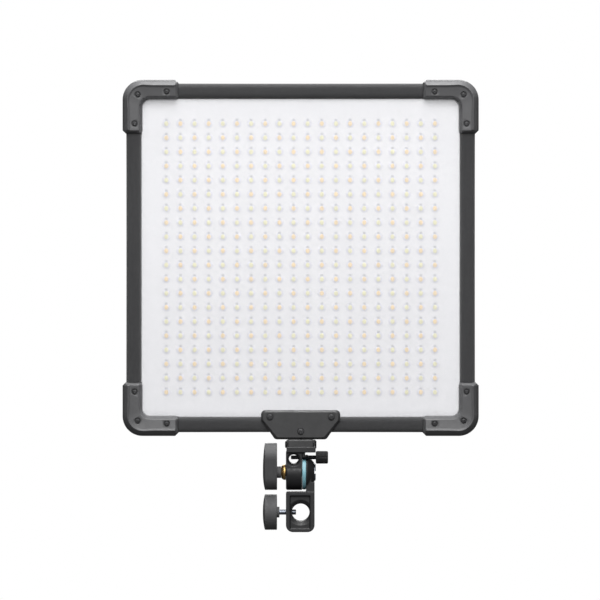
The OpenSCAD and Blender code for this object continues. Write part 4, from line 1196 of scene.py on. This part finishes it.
def make_housing():
    """The unit's tray: rounded walls and a soft back edge, with its openings and vents."""
    low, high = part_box("unit_housing")
    centre = centre_of("unit_housing")
    w, h = high.x - low.x, high.z - low.z
    r = 9 * MM
    wall = 2 * MM
    ease = 2.6 * MM

    def ring(inset, y):
        return [(centre.x + x, y, centre.z + z) for x, z in
                rounded_rectangle(w - 2 * inset, h - 2 * inset, max(1.5 * MM, r - inset), 8)]

    rings = [ring(0.25 * MM, low.y), ring(0, low.y + 0.25 * MM), ring(0, high.y - ease)]
    for i in range(1, 7):
        angle = math.pi / 2 * i / 6
        rings.append(ring(ease * (1 - math.cos(angle)), high.y - ease + ease * math.sin(angle)))
    shell = lofted("housing", rings)
    inner = lofted("room", [ring(wall, low.y - MM), ring(wall, high.y - wall)])
    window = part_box("display_window")
    opening = block("opening", (window[0].x - 0.1 * MM, high.y - 4 * MM, window[0].z - 0.1 * MM),
                    (window[1].x + 0.1 * MM, high.y + MM, window[1].z + 0.1 * MM))
    cutters = [inner, opening]
    for node in ("brightness_dial", "colour_dial"):
        spot = centre_of(node)
        place = pointing((spot.x, high.y, spot.z), (0, 1, 0))
        cutters.append(drill(3.4 * MM, -4 * MM, MM, place, 32))
        cutters.append(turned("well", [(-0.5 * MM, 11.2 * MM), (MM, 11.6 * MM)], 72, place))
    button = centre_of("mode_button")
    cutters.append(drill(4.65 * MM, -4 * MM, MM, pointing((button.x, high.y, button.z), (0, 1, 0))))
    rocker = centre_of("power_rocker")
    cutters.append(block("rocker_hole", (rocker.x - 7.5 * MM, rocker.y - 4 * MM, low.z - MM),
                         (rocker.x + 7.5 * MM, rocker.y + 4 * MM, low.z + 3 * MM)))
    socket = centre_of("power_socket")
    cutters.append(drill(4.2 * MM, -MM, 3 * MM, pointing((socket.x, socket.y, low.z), (0, 0, 1))))
    slots = 9
    for i in range(slots):
        x = (i - (slots - 1) / 2) * 6 * MM
        cutters.append(block("vent", (x - 1 * MM, low.y + 4.5 * MM, high.z - 0.9 * MM),
                             (x + 1 * MM, high.y - 5 * MM, high.z + MM)))
    shell = minus(shell, *cutters)
    shell = softened(shell, 0.25 * MM, 2, 50)
    piece("unit_housing_shell", shell, UNIT, "head", "unit_plastic", "unit_housing", smooth=45)


def make_dial_marks():
    """Plain tick marks round each dial."""
    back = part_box("unit_housing")[1].y
    ticks = 11
    tick = block("tick", (12.2 * MM, -0.25 * MM, -0.05 * MM), (13.6 * MM, 0.25 * MM, 0.12 * MM))
    tick = softened(tick, 0.06 * MM, 1)
    places = []
    for node in ("brightness_dial", "colour_dial"):
        spot = centre_of(node)
        dial = pointing((spot.x, back - 0.06 * MM, spot.z), (0, 1, 0))
        for i in range(ticks):
            angle = math.radians(90 + 150 - 300 * i / (ticks - 1))
            places.append(dial @ Matrix.Rotation(-angle, 4, "Z"))
    piece("dial_marks", repeated("dial_marks", tick, places), MARK, "head", "unit_plastic")


def make_dial(node):
    low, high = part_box(node)
    centre = centre_of(node)
    r = (high.x - low.x) / 2
    h = high.y - low.y
    teeth = 36

    def flutes(angle, height):
        fade = min(1.0, max(0.0, (h - 0.8 * MM - height) / MM))
        return -0.4 * MM * fade * (0.5 - 0.5 * math.cos(teeth * angle))

    profile = [(0, r - 0.4 * MM), (0.3 * MM, r)]
    profile += [(0.3 * MM + (h - 1.8 * MM) * i / 5, r) for i in range(1, 6)]
    profile += [(h - 0.9 * MM, r - 0.3 * MM), (h - 0.35 * MM, r - 0.75 * MM), (h - 0.05 * MM, r - 1.4 * MM),
                (h, r - 2.0 * MM), (h, r - 3.0 * MM), (h - 0.25 * MM, r - 3.6 * MM), (h - 0.3 * MM, 0.6 * MM)]
    place = pointing((centre.x, low.y, centre.z), (0, 1, 0))
    dial = turned("dial", profile, teeth * 6, place, flutes)
    dial = minus(dial, drill(3.05 * MM, -MM, h - 2 * MM, place, 32))
    piece(node + "_cap", dial, RUBBER, node, "black_rubber", node, smooth=35)
    pointer = softened(
        block("pointer", (centre.x - 0.5 * MM, high.y - 0.45 * MM, centre.z + r * 0.35),
              (centre.x + 0.5 * MM, high.y, centre.z + r - 1.6 * MM)), 0.12 * MM, 2)
    piece(node + "_pointer", pointer, MARK, node, "black_rubber")


def make_button():
    low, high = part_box("mode_button")
    centre = centre_of("mode_button")
    length = high.y - low.y
    flange = (high.x - low.x) / 2
    r = flange - MM
    profile = [(0, flange - 0.1 * MM), (0.1 * MM, flange), (1.3 * MM, flange), (1.4 * MM, r),
               (length - 0.7 * MM, r), (length - 0.2 * MM, r - 0.2 * MM), (length, r - 0.7 * MM),
               (length - 0.15 * MM, r - 1.6 * MM), (length - 0.4 * MM, 0.5 * MM)]
    place = pointing((centre.x, low.y, centre.z), (0, 1, 0))
    button = turned("button", profile, 48, place)
    piece("mode_button_cap", button, RUBBER, "mode_button", "black_rubber", "mode_button")


def make_window():
    low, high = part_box("display_window")
    mesh = softened(block("window", low, high), 0.3 * MM, 3)
    piece("display_window_pane", mesh, WINDOW, "head", "window", "display_window")


def make_rocker():
    mesh = after(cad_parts["power_rocker"].data.copy(), "WELD", merge_threshold=0.001 * MM)
    mesh = after(mesh, "DECIMATE", decimate_type="DISSOLVE", angle_limit=math.radians(2))
    mesh = softened(mesh, 0.35 * MM, 3, 25)
    piece("power_rocker_cap", mesh, UNIT, "power_rocker", "unit_plastic", "power_rocker")


def make_socket():
    low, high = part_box("power_socket")
    centre = centre_of("power_socket")
    length = high.z - low.z
    flange = (high.x - low.x) / 2
    body_r = 4.1 * MM
    place = Matrix.Translation((centre.x, centre.y, low.z))
    profile = [(0, flange - 0.35 * MM), (0.15 * MM, flange - 0.1 * MM), (0.35 * MM, flange),
               (0.6 * MM, flange), (0.65 * MM, body_r), (length, body_r)]
    body = turned("socket", profile, 48, place)
    body = minus(body, drill(3 * MM, -MM, 9 * MM, place))
    pin_profile = [(1 * MM, 0.3 * MM), (1.3 * MM, 0.75 * MM), (2 * MM, 0.9 * MM), (10 * MM, 0.9 * MM)]
    pin = turned("pin", pin_profile, 24, place)
    piece("power_socket_body", softened(body, 0.12 * MM, 1), UNIT, "head", "unit_plastic", "power_socket")
    piece("power_socket_pin", pin, STEEL, "head", "unit_plastic")


make_housing()
make_dial_marks()
make_dial("brightness_dial")
make_dial("colour_dial")
make_button()
make_window()
make_rocker()
make_socket()

STAYING = {
    WHITE_BOARD: ["led_board"],
    FOAM: ["backing_foam"],
    ALUMINIUM: ["edge_bar_top", "edge_bar_bottom", "edge_bar_left", "edge_bar_right"],
    BRASS: ["tilt_lever_insert"],
    UNIT: ["unit_base", "power_switch"],
    STEEL: ["unit_screws"],
    BOARD: ["driver_board"],
    GREY_PART: ["board_lead", "display_module", "brightness_encoder", "colour_encoder", "mode_switch"],
}
for material, names in STAYING.items():
    for name in names:
        finish_node(name, material)
